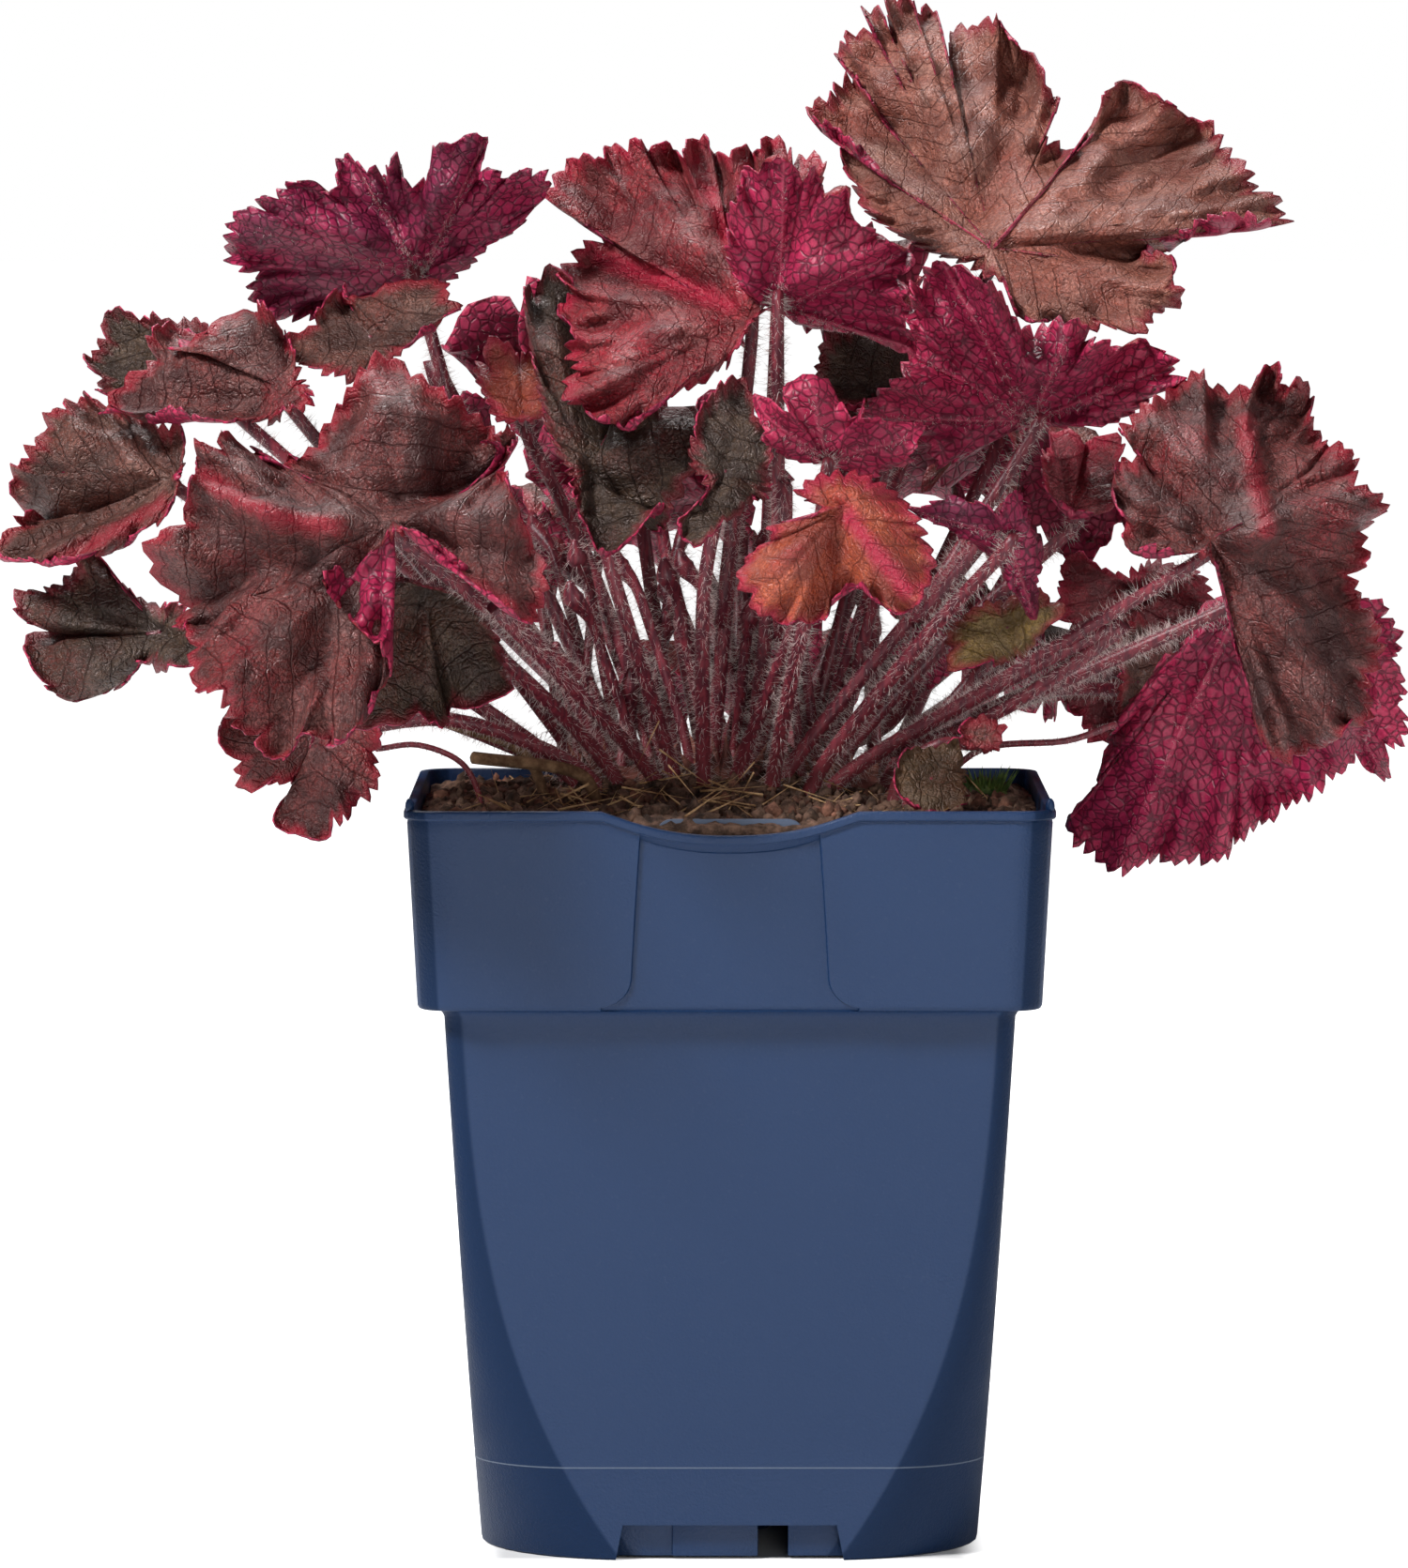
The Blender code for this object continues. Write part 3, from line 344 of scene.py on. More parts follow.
leafTones = {  # upper faces: body, its darker mottling, flushed parts, a paler painted sheen between the veins, the margin
    "bronze": ((0.195, 0.038, 0.035), (0.048, 0.010, 0.010), (0.320, 0.014, 0.027), (0.420, 0.180, 0.160),
               (0.360, 0.005, 0.026)),
    "terracotta": ((0.400, 0.140, 0.096), (0.165, 0.052, 0.038), (0.450, 0.110, 0.080), (0.640, 0.370, 0.290),
                   (0.320, 0.012, 0.036)),
    "brown": ((0.165, 0.050, 0.036), (0.048, 0.017, 0.012), (0.250, 0.020, 0.024), (0.390, 0.210, 0.160),
              (0.320, 0.008, 0.026)),
    "olive": ((0.070, 0.040, 0.022), (0.022, 0.013, 0.008), (0.120, 0.018, 0.015), (0.240, 0.160, 0.110),
              (0.220, 0.008, 0.022)),
    "orange": ((0.540, 0.110, 0.046), (0.250, 0.040, 0.024), (0.520, 0.014, 0.052), (0.640, 0.270, 0.170),
               (0.460, 0.008, 0.055)),
    "yellow": ((0.240, 0.150, 0.036), (0.100, 0.060, 0.016), (0.280, 0.040, 0.022), (0.360, 0.280, 0.140),
               (0.300, 0.016, 0.030)),
    "red": ((0.240, 0.018, 0.028), (0.080, 0.007, 0.012), (0.340, 0.008, 0.034), (0.400, 0.120, 0.130),
            (0.380, 0.005, 0.036)),
    "crimson": ((0.330, 0.026, 0.036), (0.100, 0.009, 0.013), (0.440, 0.012, 0.034), (0.520, 0.200, 0.180),
                (0.440, 0.006, 0.040)),
    "dead": ((0.150, 0.090, 0.040), (0.055, 0.034, 0.016), (0.110, 0.040, 0.020), (0.250, 0.180, 0.115),
             (0.110, 0.050, 0.020)),
}
underTones = {  # undersides: body, near the margin, the fine net of veins, the ribs
    "magenta": ((0.400, 0.018, 0.076), (0.640, 0.040, 0.120), (0.056, 0.002, 0.014), (0.500, 0.060, 0.120)),
    "plum": ((0.225, 0.020, 0.066), (0.500, 0.024, 0.100), (0.034, 0.001, 0.012), (0.360, 0.050, 0.090)),
}
veinage = {"labels": ("Main vein", "Side vein", "Net", "Margin", "Mottle", "Speckle", "Height"),
           "wobble": (160.0, 3.0), "mainShift": 0.15, "mainWide": 0.55, "slant": 0.75, "sideWide": 0.05,
           "netWide": 0.15, "ragged": (260.0, 3.0), "raggedDeep": 4.5, "margin": (0.2, 5.0),
           "grain": (1500.0, 2.0, 0.7), "grainHigh": 1.1, "netDeep": 0.35, "sideDeep": 0.7,
           "swell": (190.0, 1.0), "swellHigh": 2.4}
upperLook = {"flush": 0.75, "bloom": 0.42, "net": 0.25, "side": 0.45, "main": 0.45, "speckle": 0.70, "margin": 0.80,
             "rough": (0.33, 0.55), "shine": 0.75, "tint": (1.0, 0.84, 0.82), "bump": (0.9, 0.0008),
             "glow": 0.6, "through": 0.10}
underLook = {"netScale": 380.0, "blush": 0.7, "margin": 0.7, "lines": 0.80, "speckle": 0.30, "main": 0.85,
             "ribHigh": 1.2, "rough": 0.44, "shine": 0.45, "bump": (0.5, 0.0006), "through": 0.20}
stalkLook = {"dark": (0.075, 0.007, 0.017), "pale": (0.210, 0.026, 0.040), "foot": (0.300, 0.060, 0.070),
             "stretch": (900.0, 900.0, 60.0), "footTop": (0.172, 0.200), "footShare": 0.60}
hairLook = {"tones": ((0.56, 0.45, 0.44), (0.88, 0.80, 0.76)), "glow": (0.85, 0.70, 0.66), "through": 0.35}


def maskGroup():
    # leafMap holds, in mm: how far along the nearest main vein, how far off it, how far from the margin
    tree = bpy.data.node_groups.new("leafMasks", "ShaderNodeTree")
    for label, value in (("Side vein gap", 6.5), ("Net scale", 420.0)):
        tree.interface.new_socket(label, in_out="INPUT", socket_type="NodeSocketFloat").default_value = value
    for label in veinage["labels"]:
        tree.interface.new_socket(label, in_out="OUTPUT", socket_type="NodeSocketFloat")
    given = tree.nodes.new("NodeGroupInput").outputs
    where = put(tree, "TexCoord", {}, "Object")
    leafMap = put(tree, "Attribute", {}, "Vector", attribute_name="leafMap", attribute_type="GEOMETRY")
    along, off, edge = split(leafMap)
    scale, swing = veinage["wobble"]
    wobble = (noisy(where, scale) - 0.5) * swing
    main = remap(abs(off + wobble * veinage["mainShift"]), 0.0, veinage["mainWide"], 1.0, 0.0)
    slanted = (along - off * veinage["slant"] + wobble) / Wire(tree, given["Side vein gap"])
    side = remap(abs(slanted.math("FRACT", slanted) - 0.5), 0.0, veinage["sideWide"], 1.0, 0.0)
    cells = put(tree, "TexVoronoi", {"Vector": where, "Scale": Wire(tree, given["Net scale"])}, "Distance",
                feature="DISTANCE_TO_EDGE")
    net = remap(cells, 0.0, veinage["netWide"], 1.0, 0.0)
    ragged = (noisy(where, *veinage["ragged"]) - 0.5) * veinage["raggedDeep"]
    margin = remap(edge + ragged, *veinage["margin"], 1.0, 0.0)
    pressed = net * veinage["netDeep"] + side * veinage["sideDeep"]
    height = noisy(where, *veinage["grain"]) * veinage["grainHigh"] - pressed
    height = height + noisy(where, *veinage["swell"]) * veinage["swellHigh"]
    masks = (main, side, net, margin, patches(where, "mottle"), patches(where, "speckle"), height)
    connect(tree, tree.nodes.new("NodeGroupOutput"), dict(enumerate(masks)))
    return tree


leafMasks = maskGroup()


def useMasks(material, inputs):
    tree = material.node_tree
    made = add(tree, "Group", {}, node_tree=leafMasks)
    connect(tree, made, inputs)
    return [Wire(tree, socket) for socket in made.outputs]


def upperFinish(colour):
    body, dark, flush, bloom, edging = leafTones[colour]
    look = upperLook
    material, where = newMaterial("upper" + colour.title())
    main, side, net, margin, mottle, speckle, height = useMasks(material, {})
    tone = mix(mottle, dark, body)
    tone = mix(patches(where, "flush") * look["flush"], tone, flush)
    # paler patches between the veins paint the leaf's sheen into its colour
    tone = mix(patches(where, "bloom") * (1.0 - side) * look["bloom"], tone, bloom)
    lines = larger(larger(net * look["net"], side * look["side"]), main * look["main"])
    tone = mix(lines, tone, dark)
    tone = mix(speckle * look["speckle"], tone, dark)
    tone = mix(margin * look["margin"], tone, edging)
    return finish(material, {"Base Color": tone, "Roughness": remap(speckle, 0.0, 1.0, *look["rough"]),
                             "Specular IOR Level": look["shine"], "Specular Tint": look["tint"],
                             "Normal": bump(height, *look["bump"])},
                  mix(look["glow"], tone, edging), look["through"])


def underFinish(kind):
    body, pale, netTone, rib = underTones[kind]
    look = underLook
    material, where = newMaterial("under" + kind.title())
    main, side, net, margin, _, speckle, _ = useMasks(material, {"Net scale": look["netScale"]})
    tone = mix(patches(where, "blush") * look["blush"], body, pale)
    tone = mix(margin * look["margin"], tone, pale)
    lines = larger(net * look["lines"], side * look["lines"])
    tone = mix(lines, tone, netTone)
    tone = mix(speckle * look["speckle"], tone, netTone)
    tone = mix(main * look["main"], tone, rib)
    return finish(material, {"Base Color": tone, "Roughness": look["rough"], "Specular IOR Level": look["shine"],
                             "Normal": bump(main * look["ribHigh"] - lines, *look["bump"])},
                  pale, look["through"])


def stalkFinish():
    material, where = newMaterial("stalkSkin")
    tone = mix(patches(stretched(where, stalkLook["stretch"]), "streak"), stalkLook["dark"], stalkLook["pale"])
    low = remap(split(where)[2], *stalkLook["footTop"], 1.0, 0.0)
    tone = mix(low * stalkLook["footShare"], tone, stalkLook["foot"])
    return finish(material, {"Base Color": tone, "Roughness": 0.42, "Specular IOR Level": 0.5,
                             "Normal": bump(noisy(where, 1400.0, 3.0), 0.4, 0.0003)})


def hairFinish():
    material, where = newMaterial("stalkHair")
    tone = mix(noisy(where, 300.0), *hairLook["tones"])
    return finish(material, {"Base Color": tone, "Roughness": 0.5, "Sheen Weight": 0.3}, hairLook["glow"],
                  hairLook["through"])


upper = {colour: upperFinish(colour) for colour in leafTones}
under = {kind: underFinish(kind) for kind in underTones}
stalkSkin = stalkFinish()
stalkHair = hairFinish()
print("leaf finishes made")


# leaves

view = {"x": -6.0, "y": -2400.0, "z": 343.0, "down": 3.94, "lens": 232.1}
blade = {
    "thick": 0.42, "rowGap": 3.6, "inner": 1.15, "wholeSize": 50.0, "dome": 3.2, "wave": 1.2, "swell": 0.5,
    "toothGap": 3.2, "coarser": 1.3, "toothDeep": 2.5, "toothSteps": (0.0, 0.38, 1.0), "toothSize": (0.5, 1.3),
    "notch": 0.13, "notchSize": (0.3, 1.0), "sinus": 0.20, "sinusSize": (0.2, 1.0),
    "strip": 8.0, "stripSpread": 0.8, "stripSpreadGap": 0.06, "stripRows": 6, "stripMost": 0.32, "curlMost": 0.55,
    "roll": ((0.05, 3.2), (0.14, 2.2)), "rollMean": 0.2, "rollLimits": (-0.7, 2.5), "rollLeast": 0.05,
    "tracedRoll": 0.45, "smooth": 7, "upShare": 0.6,
    "veinGap": 7.5, "veinSlant": 0.75, "veinWide": 0.16, "puff": 1.2, "puffFade": 2.5, "sink": 1.0, "sinkWide": 1.1,
    "pleat": 7.5, "pleatMiddle": 0.4, "fold": 0.285, "foldDeep": 7.0, "foldSize": (0.25, 1.0), "flushFade": 1.3,
    "ripple": ((0.05, 5.5), (0.11, 4.6)), "ripplePerWave": 2.2, "frillPerWave": 2.4,
    "ruffle": 3.4, "ruffleGap": 12.5, "fringe": 1.1, "fringeGap": 5.6, "lobeCurl": 5.5, "lobeLean": (-0.9, 1.2),
    "lobeApart": 26, "lobesMost": 7, "lobesWhole": 24, "wavesMost": 30, "turnLeast": 0.0012,
    "ribReach": 1.3, "ribEnd": 0.85, "ribHairs": 2, "ribSpread": (0.5, 0.55), "ribHairLong": (0.5, 1.7),
    "ribHairWide": (0.03, 0.05),
}
stalk = {"radius": 1.7, "taper": (1.15, 0.3), "tip": 0.7, "root": 168.0, "flare": 1.3, "rise": 14, "hairs": 11.0,
         "backHairs": 4.4, "hairLong": (1.2, 3.6), "hairWide": (0.040, 0.075), "bare": 171.0, "lean": (0.45, 0.28),
         "sunk": 0.93}

# Every leaf as in the part's source: where its stalk joins the blade, as (x, z) seen on the middle plane
# and its depth y, the normal of its upper face, the margin as (x, z), and points (x, z, y) of its stalk.
# "curls" are places (x, z) where the margin rolls over: reach, angle in radians and width of the roll.
# "ridges" run from (x, z) to (x, z): height, width and 1 if flushed red. "traced" margins are followed closely.
leafTable = {
    "a": dict(
        joint=(62, 305, 10), normal=(-0.1, -0.72, 0.68), root=(17, -2), dome=5, wave=2.6, colour="terracotta",
        pleated=0.3, traced=True,
        stalk=((40, 262, 4),),
        curls=((28, 331, 9, 2.8, 10), (67, 351, 8, 3.0, 13), (92, 339, 7, 3.0, 14), (108, 335, 11, 2.8, 8),
            (32, 346, 5, 2.6, 8), (118, 309, 9, 2.8, 11), (104, 302, 7, 2.8, 9), (72, 288, 7, 2.0, 5)),
        ridges=((62, 308, 43, 358, 6, 7, 0), (60, 311, 71, 343, -7, 5, 0), (60, 309, 33, 324, 6, 5, 0),
            (57, 314, 28, 343, -5, 5, 0), (68, 307, 125, 314, 7, 6, 0), (71, 305, 100, 292, 5, 5, 0),
            (68, 305, 114, 304, -7, 3.5, 0), (74, 312, 92, 332, 5, 5, 0)),
        margin=((60, 298), (65, 296), (68, 289), (70, 287), (76, 286), (84, 285), (91, 286), (94, 284.5),
            (100, 285.5), (101, 289), (107, 290.5), (108, 293), (105, 296), (105.5, 299.5), (98, 300.8), (104, 303),
            (107, 304.2), (109, 306), (113, 308), (124, 309), (134, 309.8), (132, 313), (131, 317.5), (126, 319),
            (124, 323.5), (120.5, 326), (117.5, 329), (115, 332), (111, 332.5), (108, 334.5), (104, 336.5),
            (100, 338), (96, 340), (93.5, 340), (91, 337.3), (80.5, 325.7), (83.5, 329.3), (80.5, 328.2), (78, 330),
            (75.2, 330), (76, 334), (78, 340), (75, 342.5), (73.5, 346), (70, 347.5), (68, 350), (65, 353.5),
            (63, 357), (59.5, 358.5), (57, 357.5), (56, 359), (52.5, 357), (51.8, 351.5), (50.8, 356),
            (50.2, 359.5), (49, 362), (46, 362.5), (44.5, 360), (43.5, 364), (40, 364), (36.5, 364), (37.5, 357.5),
            (35, 361), (31.5, 361), (33.5, 357), (31, 356.5), (27, 356), (26, 353), (25, 351), (27, 348.5),
            (30.7, 344), (36.2, 337), (31.5, 342.8), (29, 344.8), (25, 343), (24, 339), (20, 338), (18.8, 335),
            (24.5, 331), (34.8, 323.7), (31, 326.5), (28, 326.5), (27, 323), (29, 319), (31, 315), (34, 311),
            (40, 307.5), (47, 303.5), (55, 301))),
    "b": dict(
        joint=(-73, 299, -6), normal=(0.1, 0.78, 0.62), root=(-24, 3), dome=-6, wave=2.4, colour="bronze",
        under="plum", frilled=1.2, pleated=0.4, traced=True,
        stalk=((-70, 278, -8), (-58, 240, -4)),
        curls=((-104, 297, 10, -2.3, 10), (-90, 291, 8, -2.4, 9), (-63, 328, 7, -1.8, 7), (-98, 323, 6, -1.8, 5)),
        ridges=((-74, 304, -116, 316, -6, 5, 0), (-74, 305, -92, 325, 6, 5, 0), (-74, 306, -62, 329, -5, 4, 0),
            (-72, 305, -45, 318, 6, 4, 0)),
        margin=((-68, 296), (-62, 300), (-56, 306.5), (-49, 310.5), (-47, 313), (-43, 318), (-42.5, 322),
            (-46, 323), (-48.5, 325), (-52.5, 321.5), (-54, 325), (-57, 326), (-59, 323), (-57.5, 329), (-57, 333),
            (-61, 334), (-65, 332), (-69.5, 331), (-70.5, 324), (-74, 320.5), (-77, 321), (-78, 325), (-79, 326.5),
            (-81, 325), (-81, 321), (-83, 322.5), (-86, 324), (-89, 326), (-91, 328.5), (-93.5, 327.5),
            (-93.5, 323), (-95, 320), (-99, 321.5), (-101.5, 323), (-104, 322.5), (-106.5, 321), (-108, 318),
            (-112, 318), (-112, 314.5), (-116, 315), (-119, 312), (-119.5, 309), (-120, 305.5), (-120, 302.5),
            (-112, 300), (-115, 297), (-113, 293.5), (-106, 291), (-98, 291), (-90, 293), (-86, 294.5),
            (-79, 296.5))),
    "c": dict(
        joint=(4, 288, -34), normal=(-0.22, -0.72, 0.66), root=(-4, -5), dome=5, wave=2.6, colour="bronze",
        tone="crimson", frilled=1.2, pleated=0.45, traced=True,
        stalk=((2, 250, -26), (-2, 215, -16)),
        curls=((-31, 323, 10, 2.3, 8), (-14, 325, 9, 2.5, 10), (6, 326, 9, 2.4, 9), (13, 304, 9, 2.3, 8),
            (-40, 289, 7, 2.1, 7), (-28, 262, 8, 2.2, 7)),
        ridges=((4, 293, -25, 324, 6, 5, 0), (2, 292, -36, 274, 7, 6, 0), (0, 292, -31, 303, -7, 5, 1),
            (4, 296, -8, 326, -5, 4, 1), (5, 296, 4, 324, 6, 4, 1)),
        margin=((2, 282), (-2, 277), (-5, 274), (-9, 272), (-14, 269.7), (-19, 265.2), (-24, 260.5), (-27, 262),
            (-32, 263.5), (-35, 266), (-38, 266.5), (-40, 271), (-37, 275), (-39.5, 279), (-36.5, 284), (-40, 288),
            (-37, 292), (-40, 297), (-38.5, 301), (-35, 304), (-30, 306), (-32, 308.5), (-37, 311), (-44, 316),
            (-43, 319.5), (-38, 322.5), (-33, 324), (-29, 323), (-28, 326.5), (-24, 326), (-20.5, 328), (-18, 325),
            (-14, 326.5), (-10, 323), (-9, 327), (-5, 329), (-3, 325), (1, 324), (5, 326.5), (7, 324), (10, 328),
            (14, 328.5), (16, 325), (19, 327), (23, 326), (22, 321), (20, 314), (17, 306), (13, 298), (9, 291))),
    "c2": dict(
        joint=(12, 291, -46), normal=(0.1, 0.86, 0.5), root=(5, -12), dome=-5, wave=2.0, colour="bronze",
        frilled=1.4, pleated=0.45, traced=True,
        stalk=((13, 250, -40), (12, 212, -26)),
        curls=((45, 304, 9, -2.1, 8), (28, 320, 9, -2.3, 9), (10, 328, 7, -2.0, 8), (44, 280, 7, -1.8, 6)),
        ridges=((10, 292, 42, 288, 6, 4, 0), (10, 294, 38, 308, -6, 4, 0), (9, 295, 22, 324, 5, 4, 0)),
        margin=((16, 287), (24, 285), (34, 284), (42, 281.5), (44, 281), (45, 285), (42, 288), (45, 291), (42, 293),
            (43, 297), (40, 300), (44, 303), (43, 306), (40, 308), (37, 309), (35, 311), (31, 313), (29, 317),
            (29, 321), (26, 321.5), (23, 320), (22, 324), (20, 327), (18, 323), (16, 326), (13, 329), (9, 328),
            (7, 325), (4, 326.5), (2, 321), (0, 315), (-1, 308), (0, 300), (4, 294), (8, 291))),
    "d": dict(
        joint=(72, 264, -20), normal=(0.05, 0.86, 0.5), root=(13, -17), dome=-5, wave=2.2, colour="bronze",
        under="magenta", pleated=0.4, traced=True,
        stalk=((68, 246, -34), (44, 216, -28)),
        curls=((52, 303, 7, -1.6, 6), (99, 284, 8, -1.7, 6), (54, 254, 8, -1.6, 5)),
        ridges=((72, 264, 40, 290, 5, 5, 0), (72, 264, 58, 298, -4, 4, 0), (73, 264, 100, 280, 5, 6, 0),
            (72, 262, 48, 258, 4, 4, 0)),
        margin=((76, 262), (84, 263), (92, 264), (98, 267), (105, 271), (109, 273.5), (106, 276), (107.5, 279),
            (104, 282), (101, 283), (99, 285), (96, 284), (93.5, 282.2), (91, 283.5), (88, 285), (86, 283.5),
            (85, 287), (81, 289), (77, 288.5), (72.5, 286), (68.5, 287), (66, 290), (64.5, 294), (61, 298),
            (58, 300), (55, 303), (52, 302), (49, 304), (46, 301), (46, 297.5), (42, 296.5), (43, 292), (40, 290.5),
            (42, 286), (39, 283), (42.5, 279.5), (40, 276.5), (36, 273), (33, 268.5), (30, 265.5), (35, 263),
            (40, 260.5), (46, 258), (49, 254), (53, 255.4), (60, 258.4), (67, 261.4))),
    "e": dict(
        joint=(114, 236, -68), normal=(0.15, -0.7, 0.7), root=(27, -21), dome=6, wave=2.6, hang=0.25,
        colour="bronze", pleated=0.5, traced=True,
        stalk=((93, 216, -50), (66, 196, -36), (40, 187, -24)),
        curls=((100, 232, 9, 2.6, 9), (93, 248, 8, 2.2, 8), (129, 274, 8, 2.3, 8), (117, 222, 8, 2.4, 9),
            (144, 189, 7, 2.2, 7), (156, 215, 9, 2.1, 7)),
        ridges=((121, 242, 104, 264, 6, 6, 0), (122, 264, 127, 239, 7, 3, 1), (124, 238, 152, 249, 6, 6, 0),
            (124, 236, 143, 192, 7, 7, 0), (130, 232, 155, 220, -6, 5, 0), (120, 237, 97, 242, 5, 5, 0),
            (112, 240, 100, 254, -5, 4, 0)),
        margin=((108, 232), (100, 231), (94, 231.5), (92.5, 235), (93.5, 238), (91, 242), (90.5, 246), (91, 250),
            (93.5, 252.5), (97, 254), (94, 259), (91.5, 263), (94.5, 266), (98, 269), (102, 270.5), (106, 272.5),
            (109, 275), (112, 276.5), (113.5, 272.5), (117, 272), (120, 270.5), (124, 271.5), (127, 274),
            (129.5, 274.5), (130, 269), (132, 270), (135, 271), (138.5, 268.5), (138, 264.5), (140.5, 261.5),
            (141.5, 257.5), (141, 255), (144.5, 257), (147, 256), (149.5, 255.5), (148.5, 251.5), (151, 248.5),
            (154, 247.5), (156.5, 243), (154, 239.5), (152, 235), (152, 231), (150, 225), (150.5, 218),
            (153.5, 213), (155, 206), (152.5, 201), (153, 194), (149, 190), (145, 191.5), (143, 188),
            (139.5, 184.5), (136, 184), (133, 182), (129, 184.5), (126.5, 188), (125, 195), (122.8, 203),
            (120.3, 212), (118, 221), (116, 228))),
    "e2": dict(
        joint=(123, 224, -26), normal=(0.15, 0.92, 0.36), root=(31, -10), dome=-4, wave=2.2, colour="bronze",
        pleated=0.25, notched=0.1,
        stalk=((106, 214, -18), (70, 198, -14)),
        margin=((116, 221), (106, 208), (92, 192), (87, 176), (80, 165), (92, 158), (103, 159), (116, 159),
            (125, 167), (140, 175), (151, 184), (155, 200), (148, 214), (134, 222))),
    "f": dict(
        joint=(138, 214, 24), normal=(0.45, 0.86, 0.2), root=(30, 1), dome=-3, wave=1.6, colour="red",
        stalk=((90, 204, 16),),
        margin=((138, 222), (148, 223), (155, 221), (160, 212), (160, 200), (161, 189), (156, 177), (148, 184),
            (141, 196), (135, 206))),
    "g": dict(
        joint=(-79, 239, -96), normal=(-0.22, -0.78, 0.58), root=(-18, -21), dome=6, wave=2.8, hang=0.35,
        colour="bronze", notched=0.7,
        stalk=((-56, 220, -82), (-36, 203, -50)),
        curls=((-52, 257, 12, 2.8, 14), (-43, 233, 8, 2.3, 8), (-88, 216, 15, 2.7, 12), (-92, 187, 8, 2.4, 8),
            (-131, 253, 8, 2.2, 8), (-135, 240, 8, 2.5, 9), (-112, 186, 8, 2.1, 7)),
        ridges=((-120, 264, -101, 248, -6, 5, 0), (-110, 259, -91, 247, 4, 4, 0), (-124, 250, -107, 239, 8, 4.5, 1),
            (-107, 239, -92, 237, 6, 4.5, 1), (-83, 246, -69, 272, 5, 8, 0), (-81, 245, -64, 250, -7, 4, 0),
            (-79, 239, -50, 240, 6, 6, 0), (-69, 227, -52, 219, 4, 3, 1), (-94, 233, -121, 200, 6, 10, 0),
            (-101, 232, -130, 222, -5, 5, 0), (-97, 215, -108, 188, -4, 4, 0)),
        margin=((-73, 235), (-61, 225), (-47, 214), (-41, 224), (-43, 235), (-43, 246), (-52, 258), (-57, 270),
            (-68, 277), (-80, 279), (-90, 268), (-96, 266), (-108, 267), (-121, 264), (-130, 255), (-136, 245),
            (-133, 238), (-138, 230), (-134, 217), (-127, 212), (-125, 199), (-117, 190), (-107, 183), (-99, 187),
            (-91, 185), (-84, 193), (-80, 206), (-92, 222))),
    "h": dict(
        joint=(-106, 271, -52), normal=(-0.25, -0.74, 0.62), root=(-34, 6), dome=3, wave=1.8, colour="bronze",
        stalk=((-84, 246, -30), (-60, 214, -14)),
        curls=((-132, 262, 13, 2.5, 9), (-103, 280, 6, 1.8, 5)),
        ridges=((-108, 272, -140, 284, 4, 5, 0), (-112, 268, -144, 272, -5, 4, 0)),
        margin=((-98, 267), (-103, 280), (-108, 288), (-116, 292), (-124, 287), (-132, 288), (-142, 279),
            (-150, 267), (-141, 263), (-128, 262), (-114, 262))),
    "h2": dict(
        joint=(-124, 274, 8), normal=(-0.25, -0.74, 0.62), root=(-30, 14), dome=3, wave=1.6, colour="olive",
        stalk=((-84, 236, 8),),
        margin=((-118, 281), (-126, 287), (-134, 286), (-145, 287), (-151, 278), (-149, 269), (-138, 265),
            (-124, 265))),
    "i": dict(
        joint=(-132, 250, -44), normal=(-0.4, -0.74, 0.54), root=(-38, -3), dome=4, wave=2.2, colour="brown",
        notched=0.7,
        stalk=((-104, 226, -34), (-70, 204, -20)),
        curls=((-168, 246, 11, 2.3, 8), (-158, 228, 11, 2.4, 8), (-146, 266, 6, 1.8, 5)),
        ridges=((-134, 250, -160, 262, 5, 5, 0), (-136, 246, -166, 240, -5, 5, 0), (-134, 244, -158, 230, 4, 4, 1)),
        margin=((-128, 261), (-139, 263), (-153, 268), (-161, 262), (-164, 254), (-168, 248), (-168, 240),
            (-172, 230), (-160, 228), (-146, 230), (-137, 236), (-130, 242))),
    "j": dict(
        joint=(-135, 214, -50), normal=(-0.36, -0.78, 0.5), root=(-38, -13), dome=4, wave=2.0, colour="olive",
        notched=0.6,
        stalk=((-100, 206, -38), (-66, 201, -20)),
        curls=((-164, 204, 12, 2.4, 9), (-151, 231, 7, 2.1, 6), (-140, 206, 7, 2.0, 6)),
        margin=((-128, 220), (-140, 222), (-151, 232), (-158, 224), (-168, 222), (-164, 214), (-165, 207),
            (-162, 196), (-150, 201), (-139, 206), (-130, 204), (-123, 206))),
    "k": dict(
        joint=(-98, 191, -38), normal=(0.05, -0.9, 0.42), root=(-33, -22), dome=2, wave=1.6, hang=0.2, colour="red",
        tone="bronze",
        stalk=((-66, 193, -34),),
        curls=((-121, 189, 7, 2.3, 7), (-104, 167, 7, 2.0, 6)),
        margin=((-104, 196), (-114, 195), (-121, 190), (-117, 176), (-112, 180), (-105, 173), (-104, 166),
            (-97, 164), (-91, 168), (-84, 175), (-83, 190), (-90, 196))),
    "m": dict(
        joint=(-72, 224, -62), normal=(0.05, -0.92, 0.38), root=(-27, -17), dome=3, wave=1.8, hang=0.2,
        colour="olive",
        stalk=((-50, 204, -42),),
        curls=((-60, 195, 8, 1.9, 6), (-94, 208, 7, 1.8, 5)),
        ridges=((-74, 222, -60, 198, 4, 5, 0), (-78, 222, -90, 196, 4, 5, 0), (-76, 220, -75, 192, -4, 4, 0)),
        margin=((-62, 222), (-54, 212), (-52, 199), (-62, 194), (-76, 188), (-89, 190), (-95, 198), (-92, 212),
            (-84, 226))),
    "n": dict(
        joint=(-33, 252, -38), normal=(0.05, -0.8, 0.6), root=(-13, -14), dome=3, wave=2.0, colour="olive",
        stalk=((-27, 225, -40),),
        curls=((-14, 243, 9, 2.5, 8), (-30, 231, 6, 2.0, 6), (-43, 295, 7, 2.4, 7)),
